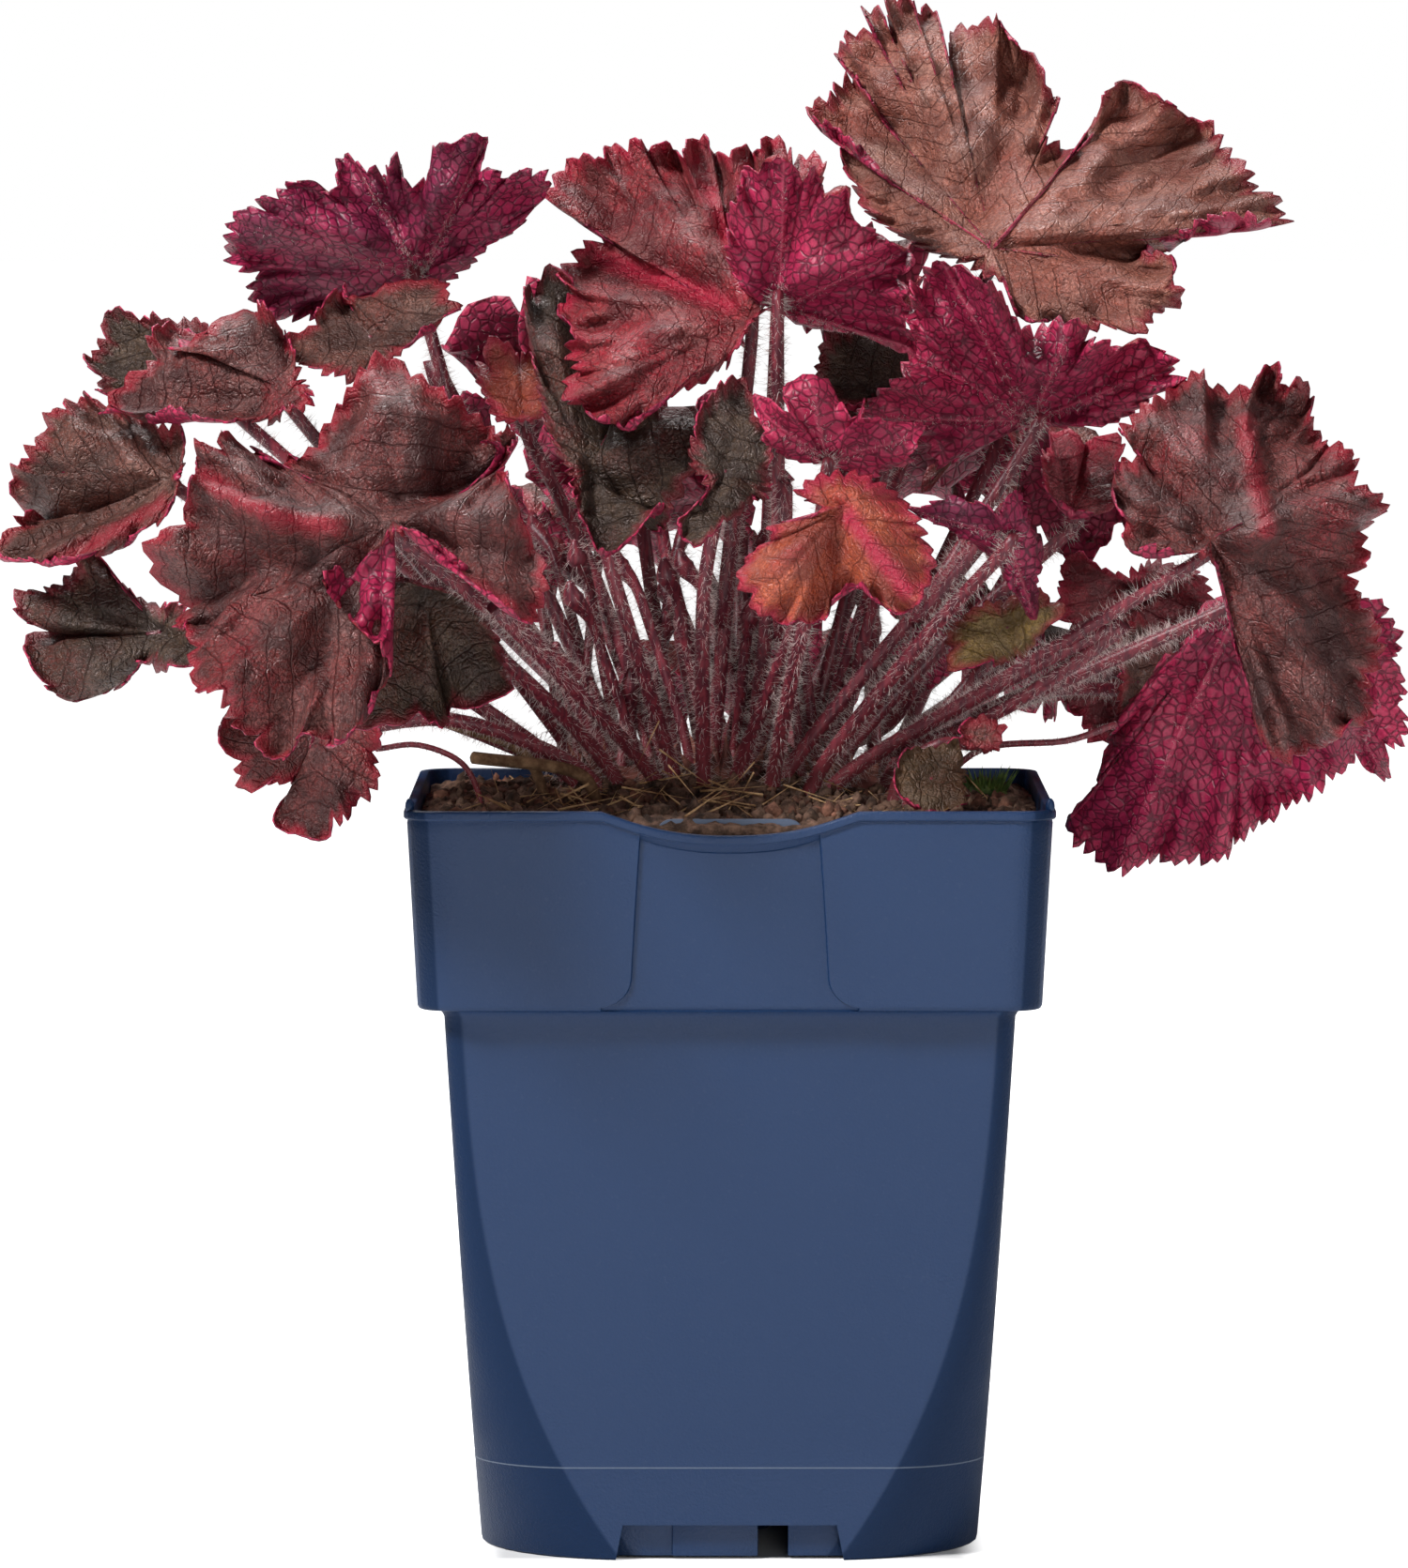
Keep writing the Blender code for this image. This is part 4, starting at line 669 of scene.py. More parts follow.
        ridges=((-34, 252, -10, 258, 4, 5, 0), (-34, 256, -44, 290, 4, 4, 0), (-34, 250, -22, 240, -4, 4, 0)),
        margin=((-38, 248), (-35, 238), (-29, 230), (-21, 236), (-10, 244), (-4, 257), (-12, 266), (-24, 272),
            (-33, 284), (-42, 297), (-49, 290), (-46, 274), (-44, 260))),
    "o": dict(
        joint=(-1, 252, -58), normal=(0.0, -0.84, 0.54), root=(-6, -23), dome=2, wave=1.4, colour="olive",
        stalk=((-6, 224, -46),),
        margin=((-6, 246), (-12, 238), (-8, 232), (1, 235), (8, 242), (12, 253), (12, 266), (4, 273), (-5, 268),
            (-10, 255))),
    "p": dict(
        joint=(27, 244, -88), normal=(0.0, -0.85, 0.52), root=(10, -27), dome=4, wave=2.0, hang=0.5,
        colour="orange", pleated=0.6, traced=True,
        stalk=((18, 216, -66),),
        curls=((29, 221, 9, 2.5, 9), (43, 219, 6, 1.9, 6), (14, 215, 6, 1.7, 5)),
        ridges=((26, 243, 8, 224, 4, 5, 0), (28, 242, 42, 224, 5, 5, 1), (26, 242, 24, 220, -4, 4, 0)),
        margin=((21, 243), (12, 240), (8, 238.5), (10, 235.3), (5, 232.5), (2.5, 229), (1, 225), (4, 222), (5, 219),
            (9, 216.5), (13, 215), (16, 216), (19, 214.5), (23, 216), (24.5, 219.5), (27.5, 222), (31, 223.5),
            (34, 221), (37, 218.5), (40, 217.5), (43, 218.5), (45.5, 222), (48.5, 226), (49, 230), (47.5, 235),
            (45.5, 240), (41, 246), (35, 251), (27, 253), (19, 251), (15, 247))),
    "q": dict(
        joint=(23, 255, -64), normal=(0.0, 0.82, 0.57), root=(2, -18), dome=-3, wave=1.8, colour="orange",
        stalk=((18, 222, -52),),
        margin=((14, 255), (8, 259), (6, 266), (12, 270), (19, 273), (26, 268), (33, 269), (40, 265), (47, 261),
            (42, 254), (32, 251))),
    "r": dict(
        joint=(66, 237, -62), normal=(0.05, 0.88, 0.46), root=(20, -27), dome=-3, wave=1.8, colour="bronze",
        under="plum",
        stalk=((46, 212, -48),),
        margin=((60, 232), (52, 237), (40, 244), (44, 251), (53, 253), (60, 247), (68, 245), (76, 240), (79, 228),
            (73, 215), (67, 223))),
    "s": dict(
        joint=(66, 215, -22), normal=(0.0, -0.9, 0.44), root=(37, -18), dome=2, wave=1.4, colour="yellow",
        stalk=((52, 196, -20),),
        margin=((58, 220), (51, 214), (52, 205), (60, 202), (70, 205), (78, 212), (81, 220), (72, 223))),
    "s2": dict(
        joint=(46, 209, 8), normal=(0.0, 0.92, 0.38), root=(19, 8), dome=-1, wave=0.8, colour="red",
        stalk=((38, 192, 8),),
        margin=((40, 211), (38, 206), (42, 201), (48, 200), (53, 205), (53, 211))),
    "t": dict(
        joint=(81, 241, -8), normal=(0.0, -0.84, 0.54), root=(24, -8), dome=2, wave=1.2, colour="red",
        stalk=((52, 212, -8),),
        margin=((76, 246), (74, 255), (77, 263), (84, 260), (93, 260), (94, 250), (90, 242))),
    "u": dict(
        joint=(-85, 284, -34), normal=(-0.05, -0.76, 0.64), root=(-26, -8), dome=3, wave=1.8, colour="brown",
        stalk=((-66, 244, -20),),
        curls=((-102, 287, 8, 2.3, 7), (-70, 285, 7, 2.1, 6)),
        margin=((-80, 277), (-72, 283), (-63, 291), (-68, 298), (-80, 299), (-92, 296), (-102, 288), (-108, 278),
            (-98, 275), (-88, 272))),
    "v": dict(
        joint=(-49, 266, 2), normal=(0.0, -0.84, 0.54), root=(-15, -5), dome=2, wave=1.4, colour="orange",
        stalk=((-34, 232, -2),),
        margin=((-55, 264), (-61, 276), (-57, 283), (-50, 281), (-43, 282), (-40, 272), (-43, 264))),
    "w": dict(
        joint=(34, 270, 22), normal=(0.0, -0.84, 0.54), root=(8, 0), dome=2, wave=1.4, colour="olive",
        stalk=((20, 232, 4),),
        margin=((26, 268), (20, 274), (22, 284), (32, 287), (42, 285), (50, 277), (44, 268))),
    "x": dict(
        joint=(98, 222, 40), normal=(0.1, -0.88, 0.46), root=(33, 11), dome=3, wave=2.0, colour="red",
        stalk=((64, 204, 26),),
        curls=((80, 229, 7, 2.3, 7), (80, 196, 7, 2.3, 7), (117, 190, 7, 2.2, 6)),
        margin=((92, 228), (80, 230), (77, 220), (81, 208), (79, 196), (86, 187), (96, 186), (108, 182), (118, 188),
            (117, 202), (121, 214), (112, 228), (102, 232))),
    "y": dict(
        joint=(97, 202, 5), normal=(0.2, -0.9, 0.38), root=(38, -6), dome=2, wave=1.4, colour="brown",
        stalk=((72, 199, 0),),
        margin=((92, 206), (92, 214), (98, 219), (106, 214), (108, 200), (104, 187), (98, 183), (92, 190))),
    "z": dict(
        joint=(61, 189, -38), normal=(0.0, -0.92, 0.38), root=(39, -31), dome=1, wave=0.8, colour="brown",
        stalk=((50, 187, -34),),
        margin=((55, 191), (55, 186), (60, 184), (66, 186), (66, 192), (60, 194))),
    "dead": dict(
        joint=(48, 179, -44), normal=(0.1, -0.8, 0.6), root=(42, -38), dome=1, wave=0.6, colour="dead",
        stalk=((44, 177, -41),),
        margin=((42, 185), (39, 178), (43, 172), (50, 170), (57, 173), (58, 181), (54, 187), (48, 186))),
}
backLeaves = (  # heading in degrees, reach, height, size
    (32, 110, 262, 46), (48, 132, 214, 44), (64, 148, 262, 42), (76, 72, 304, 46), (88, 134, 204, 42),
    (101, 136, 250, 48), (119, 82, 290, 44), (136, 128, 226, 46), (156, 116, 258, 38),
)
backRule = {"seed": 40, "reach": 0.72, "tilt": (18, 42), "tips": 14, "spread": 158, "hollow": 0.74,
            "uneven": (0.93, 1.05), "oval": 0.22, "sag": 0.12, "droop": 5, "base": 0.2, "bend": 0.55,
            "colours": ("bronze", "brown", "olive")}


def seen(x, z, y):
    # the point at depth y that shows at (x, z) on the middle plane
    share = (y - view["y"]) / -view["y"]
    return Vector((view["x"] + (x - view["x"]) * share, y, view["z"] + (z - view["z"]) * share))


def middlePlane(points):
    # where points show on the middle plane, the reverse of seen
    eye = np.array((view["x"], view["z"]))
    return (points[:, [0, 2]] - eye) * (-view["y"] / (points[:, 1:2] - view["y"])) + eye


def frontLeaf(entry):
    # a leaf of the table, with its margin and its joint in space
    jx, jz, jy = entry["joint"]
    nx, ny, nz = entry["normal"]
    tips = []
    for x, z in entry["margin"]:
        drop = (z - jz) * (entry.get("hang", 1.0) if z < jz else 1)
        tips.append(seen(x, z, jy - (nx * (x - jx) + nz * drop) / ny))
    return {**entry, "tips": tips, "centre": seen(jx, jz, jy), "stalk": [seen(*post) for post in entry["stalk"]],
            "back": False}


def backLeaf(index):
    # a leaf round the back by the part's own rule
    heading, reach, height, size = backLeaves[index]
    rule = backRule
    draw = random.Random(rule["seed"] + index)
    out = Vector((math.cos(math.radians(heading)), math.sin(math.radians(heading)), 0))
    side = Vector((-out.y, out.x, 0))
    upward = Vector((0, 0, 1))
    centre = out * reach * rule["reach"] + upward * height
    tilt = math.radians(draw.uniform(*rule["tilt"]))
    normal = (out * math.sin(tilt) + upward * math.cos(tilt)).normalized()
    along = (out * math.cos(tilt) - upward * math.sin(tilt)).normalized()
    tips = []
    for step in range(rule["tips"]):
        angle = math.radians(rule["spread"] * (2 * step / (rule["tips"] - 1) - 1))
        length = size * (1.0 if step % 2 else rule["hollow"]) * draw.uniform(*rule["uneven"])
        length *= 1 - rule["oval"] * (1 - math.cos(angle))
        flat = along * math.cos(angle) + side * math.sin(angle)
        tips.append(centre + flat * length - normal * (rule["sag"] * length + rule["droop"] * draw.random()))
    tips.append(centre - along * size * rule["base"])
    root = (26 - 6.4 * index, 19 + 6 * (index % 2))
    bend = Vector((*root, 0)).lerp(centre, 0.5)
    bend.z = stalk["root"] + (height - stalk["root"]) * rule["bend"]
    return dict(tips=tips, centre=centre, normal=normal, root=root, stalk=[bend], dome=4.0, wave=2.2,
                colour=draw.choice(rule["colours"]), back=True)


def roundTips(points, turns):
    # the smooth loop through the margin's points
    count = len(points)
    spot = turns * count
    index = np.floor(spot).astype(int) % count
    ends = (points[index - 1], points[index], points[(index + 1) % count], points[(index + 2) % count])
    return catmull(*ends, (spot - np.floor(spot))[:, None]), spot


def untangled(tips, joint):
    # turns the margin's places about the joint, as seen from the front, so that none goes back past the one before
    shown = middlePlane(tips) - middlePlane(joint[None])
    angle = np.unwrap(np.arctan2(shown[:, 1], shown[:, 0]))
    way = math.copysign(1, angle[-1] - angle[0])
    least = blade["turnLeast"] * np.arange(len(angle))
    angle = way * (np.maximum.accumulate(way * angle - least) + least)
    reach = np.hypot(shown[:, 0], shown[:, 1])
    spots = np.stack([np.cos(angle) * reach, np.sin(angle) * reach], 1) + middlePlane(joint[None])
    return np.array([seen(x, z, y) for (x, z), y in zip(spots, tips[:, 1])])


def mainVeins(flat):
    # the lobes in order round the margin: its points further out than both their neighbours
    reach = np.hypot(flat[:, 0], flat[:, 1])
    lobes = [i for i in range(len(flat)) if reach[i] > reach[i - 1] and reach[i] >= reach[(i + 1) % len(flat)]]
    lobes.sort(key=lambda i: -reach[i])
    close = math.cos(math.radians(blade["lobeApart"]))
    kept = []
    for i in lobes:
        if all(flat[i] / reach[i] @ (flat[k] / reach[k]) < close for k in kept):
            kept.append(i)
    return sorted(kept[:blade["lobesMost"]])


def lobeGaps(lobes, count, turns):
    # for every column its place between two lobes, from 0 to 1, and which gap it is in: none is next to the stalk
    part = np.zeros(len(turns))
    gap = np.full(len(turns), -1)
    for k, (a, b) in enumerate(zip(lobes, lobes[1:])):
        inside = (turns >= a / count) & (turns < b / count)
        part[inside] = (turns[inside] - a / count) / ((b - a) / count)
        gap[inside] = k
    return part, gap


def unit(vectors):
    return vectors / np.linalg.norm(vectors, axis=-1, keepdims=True)


def lumpy(points, shift, sizes):
    # noise of two sizes, each with its frequency and its height
    (coarse, high), (fine, low) = sizes
    return np.array([high * noise.noise(Vector(p) * coarse + shift) + low * noise.noise(Vector(p) * fine - shift)
                     for p in points])


def layMargin(leaf, seed):
    # the columns of a blade run from the joint to its margin: here is where each ends, and how its teeth cut in
    b = SimpleNamespace(seed=seed, draw=np.random.default_rng(seed), shift=Vector((seed * 3.7, seed * 1.9, 0)))
    b.points = points = np.array(leaf["tips"])
    b.joint = joint = np.array(leaf["centre"])
    b.up = up = np.array(Vector(leaf["normal"]).normalized())
    b.traced = "traced" in leaf
    b.pleated = leaf.get("pleated", 1)
    b.lift = up if leaf["back"] else np.array((0, 1 / up[1], 0))
    # relief goes mostly in depth, so that the margin keeps its outline from the front
    b.rise = up if leaf["back"] else unit(up * (0 if b.traced else blade["upShare"]) + unit(b.lift))
    fineTurns = np.linspace(0, 1, 16 * len(points) + 1)
    loop, _ = roundTips(points, fineTurns)
    lengths = np.concatenate([[0], np.cumsum(np.linalg.norm(np.diff(loop, axis=0), axis=1))])
    far = np.linalg.norm(points - joint, axis=1).max()
    b.size = min(1.0, far / blade["wholeSize"])
    b.columns = 3 * round(lengths[-1] / blade["toothGap"] / (blade["coarser"] if leaf["back"] or b.traced else 1))
    b.rows = max(6, round(far / blade["rowGap"]))
    b.arc = np.linspace(0, lengths[-1], b.columns + 1)
    b.turns = np.interp(b.arc, lengths, fineTurns)
    tips, b.spot = roundTips(points, b.turns % 1.0)
    if b.traced:
        tips = np.concatenate([untangled(tips[:-1], joint), tips[:1]])
    b.tips = tips
    whole = np.floor(b.spot).astype(int)
    notched = 0 if b.traced else leaf.get("notched", 1)
    toothSize = b.draw.uniform(*blade["toothSize"], b.columns // 3 + 1)
    toothSize[-1] = toothSize[0]
    step = np.arange(b.columns + 1)
    toothDeep = blade["toothDeep"] * (0.4 + 0.6 * b.size)
    tooth = np.array(blade["toothSteps"])[step % 3] * toothSize[step // 3] * toothDeep
    radius = np.linalg.norm(tips - joint, axis=1)
    b.outward = unit(tips - joint)
    notch = blade["notch"] * notched * b.draw.uniform(*blade["notchSize"], len(points))[whole % len(points)]
    cutIn = radius * notch * np.sin(np.pi * (b.spot - whole)) ** 6 + tooth
    sideways = unit(np.cross(up, (0, 0, 1.0)))
    b.plane = np.stack([sideways, np.cross(sideways, up)], 1)
    b.flatTips = (points - joint) @ b.plane
    b.lobes = mainVeins(b.flatTips)
    b.between, b.gap = lobeGaps(b.lobes, len(points), b.turns)
    sinus = b.draw.uniform(*blade["sinusSize"], len(b.lobes) + 1)[b.gap] * (b.gap >= 0) * notched * blade["sinus"]
    b.radius = radius * (1 - sinus * np.sin(np.pi * b.between) ** 8)
    b.cutIn = np.minimum(cutIn, 0.5 * b.radius)
    lean = b.draw.uniform(*blade["lobeLean"], len(points))[np.rint(b.spot).astype(int) % len(points)]
    b.lobeSide = lean * (0.5 + 0.5 * np.cos(2 * np.pi * b.spot)) * min(1, blade["lobesWhole"] / len(points))
    return b


def rollMargin(b, leaf):
    # how far the outer strip rolls towards the upper face
    roll = blade["rollMean"] + lumpy(b.tips, b.shift, blade["roll"])
    roll = np.clip(roll, *blade["rollLimits"]) * (blade["tracedRoll"] if b.traced else 1)
    spread = np.array([noise.noise(Vector(t) * blade["stripSpreadGap"] - b.shift) for t in b.tips])
    width = np.minimum(blade["strip"] * (1 + blade["stripSpread"] * spread), blade["stripMost"] * b.radius)
    shown = middlePlane(b.tips)
    for x, z, reach, angle, wide in leaf.get("curls", ()):
        near = np.exp(-((shown[:, 0] - x) ** 2 + (shown[:, 1] - z) ** 2) / reach**2)
        roll = roll + near * (angle - roll)
        width = width + near * (np.minimum(wide, blade["curlMost"] * b.radius) - width)
    kernel = np.hanning(blade["smooth"])[1:-1]
    roll = np.convolve(np.concatenate([roll[-4:-1], roll, roll[1:4]]), kernel / kernel.sum(), "same")[3:-3]
    roll = np.where(np.abs(roll) < blade["rollLeast"], blade["rollLeast"], roll)
    taken = width * np.sin(np.clip(roll, -np.pi / 2, np.pi / 2)) / roll
    b.start = b.radius - taken - np.maximum(b.cutIn - 0.8 * width, 0)
    b.stripLong = width - np.minimum(b.cutIn, 0.8 * width)
    b.bend = roll / width
    b.face = unit(b.up - (b.outward @ b.up)[:, None] * b.outward)


def layBlade(b, leaf):
    # the grid of the blade, with its veins worked out on the blade laid flat
    b.mesh, column, row = sheetGrid(b.columns, b.rows + blade["stripRows"])
    b.column = column
    past = np.maximum(row - b.rows, 0) / blade["stripRows"]
    out = b.outward[column]
    b.distance = b.start[column] * (1 - (1 - np.minimum(row / b.rows, 1.0)) ** blade["inner"])
    full = b.distance / b.radius[column]
    b.full = full = full + (1 - full) * past
    plain = (out * (full * b.radius[column])[:, None]) @ b.plane
    b.along = np.zeros(len(plain))
    b.off = np.full(len(plain), 1e3)
    for way in unit(b.flatTips[b.lobes]):
        ahead = plain @ way
        aside = np.abs(plain[:, 0] * way[1] - plain[:, 1] * way[0])
        aside = np.where(ahead < 0, np.hypot(plain[:, 0], plain[:, 1]), aside)
        b.along = np.where(aside < b.off, ahead, b.along)
        b.off = np.minimum(aside, b.off)
    stripLong = b.stripLong[column]
    b.edge = np.where(past > 0, stripLong * (1 - past), b.start[column] - b.distance + stripLong)
    bend = b.bend[column]
    turned = bend * past * stripLong
    co = b.joint + out * b.distance[:, None]
    co += out * (np.sin(turned) / bend)[:, None] + b.face[column] * ((1 - np.cos(turned)) / bend)[:, None]
    turns = b.turns[column]
    waves = 2 * round(min(len(b.points), blade["wavesMost"]) / 2)  # crests round the margin
    height = leaf["dome"] * blade["dome"] * full * (1 - full)
    height += blade["wave"] * leaf["wave"] * full**5 * np.sin(np.pi * waves * turns + 0.9)
    height += blade["swell"] * leaf["wave"] * full**2 * np.sin(6 * np.pi * turns + b.joint[0])
    b.co = co + b.lift * height[:, None]


def foldLobes(b):
    # lobes stand proud of the gaps between them, and lap over one another there
    between, gap, full = b.between[b.column], b.gap[b.column], b.full
    pleat = np.where(gap >= 0, np.cos(2 * np.pi * between), 1.0) - blade["pleatMiddle"]
    b.co += b.rise * (b.size * b.pleated * blade["pleat"] * pleat * full**1.3)[:, None]
    for k, (i, j) in enumerate(zip(b.lobes, b.lobes[1:])):
        strength = b.pleated * b.draw.uniform(*blade["foldSize"]) * b.draw.choice((-1, 1))
        swing = np.where(gap == k, np.sin(2 * np.pi * between), 0)
        if not b.traced:
            b.co += (b.points[j] - b.points[i]) * (abs(strength) * blade["fold"] * swing * full**1.4)[:, None]
        b.co += b.rise * (strength * b.size * blade["foldDeep"] * swing * full**1.2)[:, None]


def addRidges(b, leaf):
    # ridges and hollows where the photograph shows them, some of them flushed red
    shown = middlePlane(b.co)
    for x, z, toX, toZ, tall, wide, red in leaf.get("ridges", ()):
        line = np.array((toX - x, toZ - z))
        share = np.clip(((shown - (x, z)) @ line) / (line @ line), 0, 1)
        aside = np.linalg.norm(shown - (x, z) - share[:, None] * line, axis=1)
        b.co += b.rise * (tall * np.exp(-((aside / wide) ** 2)))[:, None]
        if red:
            b.edge = np.minimum(b.edge, blade["flushFade"] * aside)


def puffUp(b, leaf):
    # everything between the veins is puffed up, and the margin is frilled
    full, turns, arc = b.full, b.turns[b.column], b.arc[b.column]
    chevron = (b.along - b.off * blade["veinSlant"]) / blade["veinGap"]
    chevron = np.abs(chevron - np.floor(chevron) - 0.5)
    between = 1 - np.exp(-((chevron / blade["veinWide"]) ** 2))
    sink = blade["sink"] * np.exp(-((b.off / blade["sinkWide"]) ** 2)) * (1 - full)
    puff = (blade["puff"] * np.minimum(b.off / blade["puffFade"], 1) * between - sink) * np.minimum(full * 3, 1)
    ripple = lumpy(b.co, b.shift, blade["ripple"]) * np.minimum(full * 1.5, 1)
    closing = np.clip(np.minimum(turns, 1 - turns) * 24, 0, 1)
    ruffle = np.sin(2 * np.pi * arc / blade["ruffleGap"] + 2.6 * np.sin(arc / 19 + b.seed)) * full**5
    fringe = np.sin(2 * np.pi * arc / blade["fringeGap"] + 1.7 * np.sin(arc / 9)) * full**8
    frill = (blade["ruffle"] * ruffle + blade["fringe"] * fringe) * closing
    frill += blade["lobeCurl"] * b.size * full**4 * b.lobeSide[b.column]
    relief = b.size * (puff + ripple * leaf["wave"] / blade["ripplePerWave"])
    relief += frill * leaf.get("frilled", 1) * leaf["wave"] / blade["frillPerWave"]
    b.co += b.rise * relief[:, None]


def closeBlade(b, name, leaf):
    # gives the sheet its upper face, its thickness and its finishes
    setCo(b.mesh, b.co * mm)
    leafMap = b.mesh.attributes.new("leafMap", "FLOAT_VECTOR", "POINT")
    leafMap.data.foreach_set("vector", np.stack([b.along, b.off, b.edge], 1).astype(np.float32).ravel())
    weld(b.mesh, 0.02 * mm, recalc=False)
    if sum((polygon.normal * polygon.area for polygon in b.mesh.polygons), Vector()) @ Vector(b.up) < 0:
        weld(b.mesh, 0, recalc=False, flip=True)
    below = under[leaf.get("under", "magenta")]
    made = newObject(name, b.mesh, upper[leaf.get("tone", leaf["colour"])], below, below)
    sheet = made.modifiers.new("thickness", "SOLIDIFY")
    sheet.thickness = blade["thick"] * mm
    sheet.offset = -1
    sheet.material_offset = 1
    sheet.material_offset_rim = 2
    applyModifiers(made)
    made.data.shade_smooth()
    return made


def ribHairs(b, name):
    onRib = (b.off < blade["ribReach"]) & (b.full < blade["ribEnd"]) & (b.distance > 2)
    feet = np.repeat(b.co[onRib], blade["ribHairs"], axis=0)
    aside, lean = blade["ribSpread"]
    feet = feet - b.up * blade["thick"] + b.draw.normal(0, aside, feet.shape)
    ways = -b.up + b.draw.normal(0, lean, feet.shape)
    long, wide = (b.draw.uniform(*blade[key], len(feet)) for key in ("ribHairLong", "ribHairWide"))
    return newObject(name, scatterCones(name, feet, ways, long, wide), stalkHair)


def makeBlade(name, leaf, seed):
    b = layMargin(leaf, seed)
    rollMargin(b, leaf)
    layBlade(b, leaf)
    foldLobes(b)
    addRidges(b, leaf)
    puffUp(b, leaf)
    made = closeBlade(b, name, leaf)
    seenBelow = leaf["normal"][1] >= 0.5
    return [made, ribHairs(b, name + "RibHairs")] if seenBelow else [made]


def fuzz(name, points, sizes, frames, perMm, seed, long, wide):
    # pale hairs standing off a stalk
    draw = np.random.default_rng(seed)
    spots = np.array(points)
    reach = np.concatenate([[0], np.cumsum(np.linalg.norm(np.diff(spots, axis=0), axis=1))])
    count = int(reach[-1] * perMm)
    at = np.interp(draw.uniform(0, reach[-1], count), reach, np.arange(len(points))).clip(0, len(points) - 1.001)
    low = at.astype(int)
    part = (at - low)[:, None]
    middle = spots[low] * (1 - part) + spots[low + 1] * part
    across, other, ahead = np.array(frames)[low].transpose(1, 0, 2)
    angle = draw.uniform(0, 2 * np.pi, count)[:, None]
    radial = across * np.cos(angle) + other * np.sin(angle)
    feet = middle + radial * (np.array(sizes)[low] * stalk["sunk"])[:, None]
    lean, spread = stalk["lean"]
    ways = radial + ahead * draw.normal(0, lean, (count, 1)) + draw.normal(0, spread, (count, 3))
    keep = middle[:, 2] > stalk["bare"]
    lengths, widths = (draw.uniform(*limits, keep.sum()) for limits in (long, wide))
    return scatterCones(name, feet[keep], ways[keep], lengths, widths)


def hairyTube(name, route, radii, steps, skin, perMm, seed, long=stalk["hairLong"], wide=stalk["hairWide"]):
    mesh, points, sizes, frames = tubeMesh(name, route, radii, steps)
    pieces = [newObject(name, mesh, skin)]
    if perMm:
        hairs = fuzz(name + "Hairs", points, sizes, frames, perMm, seed, long, wide)
        pieces.append(newObject(name + "Hairs", hairs, stalkHair))
    return pieces


def makeStalk(name, leaf, seed):
    normal = Vector(leaf["normal"]).normalized()
    x, y = leaf["root"]
    route = [Vector((x, y, stalk["root"])), Vector((x * 1.04, y * 1.02, stalk["root"] + stalk["rise"]))]
    route += leaf["stalk"] + [leaf["centre"] - normal * 6, leaf["centre"] - normal * 0.25]
    first, taper = stalk["taper"]
    radii = [stalk["radius"] * (first - taper * i / (len(route) - 1)) for i in range(len(route))]
    radii[0] += stalk["flare"]
    radii[-1] *= stalk["tip"]
    steps, perMm = (4, stalk["backHairs"]) if leaf["back"] else (6, stalk["hairs"])
    return hairyTube(name, route, radii, steps, stalkSkin, perMm, seed)


def makeLeaves():
    leaves = {"leaf_" + key: frontLeaf(entry) for key, entry in leafTable.items()}
    leaves |= {f"leaf_back_{index + 1}": backLeaf(index) for index in range(len(backLeaves))}
    for seed, (node, leaf) in enumerate(leaves.items()):
        name = "ruffled" + nodeName(node)
        place(makeBlade(name, leaf, seed) + makeStalk(name + "Stalk", leaf, seed), node, "leaf_" + leaf["colour"])
    print("leaves made:", len(leaves))


makeLeaves()


# pot

pot = {
    "height": 176.5, "lipWidth": 151.0, "collarTop": 149.8, "collarFoot": 145.0, "collarLow": 131.0,
    "collarCorner": 9.0, "lip": 2.2, "bodyTop": 133.0, "bodyFoot": 117.0, "bodyCorner": 4.5, "footGain": 29.0,
    "wall": 1.7, "floorTop": 11.0, "floorUnder": 9.2, "dipDepth": 5.6, "dipReach": 30.0, "dipFade": 22.0,
    "bead": 1.5, "recessDepth": 0.9, "recessTop": 20.4, "recessFoot": 22.6, "flare": 7.0, "edge": 0.35,
    "crease": 8.0, "seam": 22.0, "seamProud": 0.04, "notchTop": 25.0, "notchFoot": 26.6, "notchHeight": 8.4,
    "hub": 10.0, "panelBack": 54.2, "panels": ((-27.4, -12.6, 0.0), (-13.4, 6.6, 0.7), (13.6, 27.8, 0.3)),
    "drain": 4.0, "drainReach": 27.0, "nib": (74.0, -69.0, 0.9, 179.2), "sharp": 32,
    "bodyLevels": (0.5, 1.4, 4, 8, 13, 18, 21.5, 21.85, 22.15, 22.5, 27, 34, 42, 52, 62, 74, 88, 102, 114, 122,
                   126, 128),
    "collarLevels": (0.3, 0.9, 1.6, 2.5, 3.4, 4.4, 5.4, 6.4, 7.2, 10, 14, 18, 21, 25, 29, 33, 37, 40, 42.4),
    "flatSteps": 11, "recessSteps": 14, "cornerSteps": 9,  # columns beside the recess, across it and round a corner
}
# the corner tone and its share paint shade onto the big rounded corners low down
plastic = {"dust": 0.35, "specks": 0.30, "rubs": 0.10, "stretch": (1.0, 1.0, 0.12), "rough": (0.44, 0.56),
           "shine": 0.42, "cornerShine": 0.18, "cornerDark": 0.42, "cornerShare": 0.62, "cornerEdge": (-0.4, 1.2),
           "seamWide": (0.10, 0.20), "seamShare": 0.5, "seamTone": (0.20, 0.24, 0.30), "grain": (1500.0, 3.0, 0.6)}


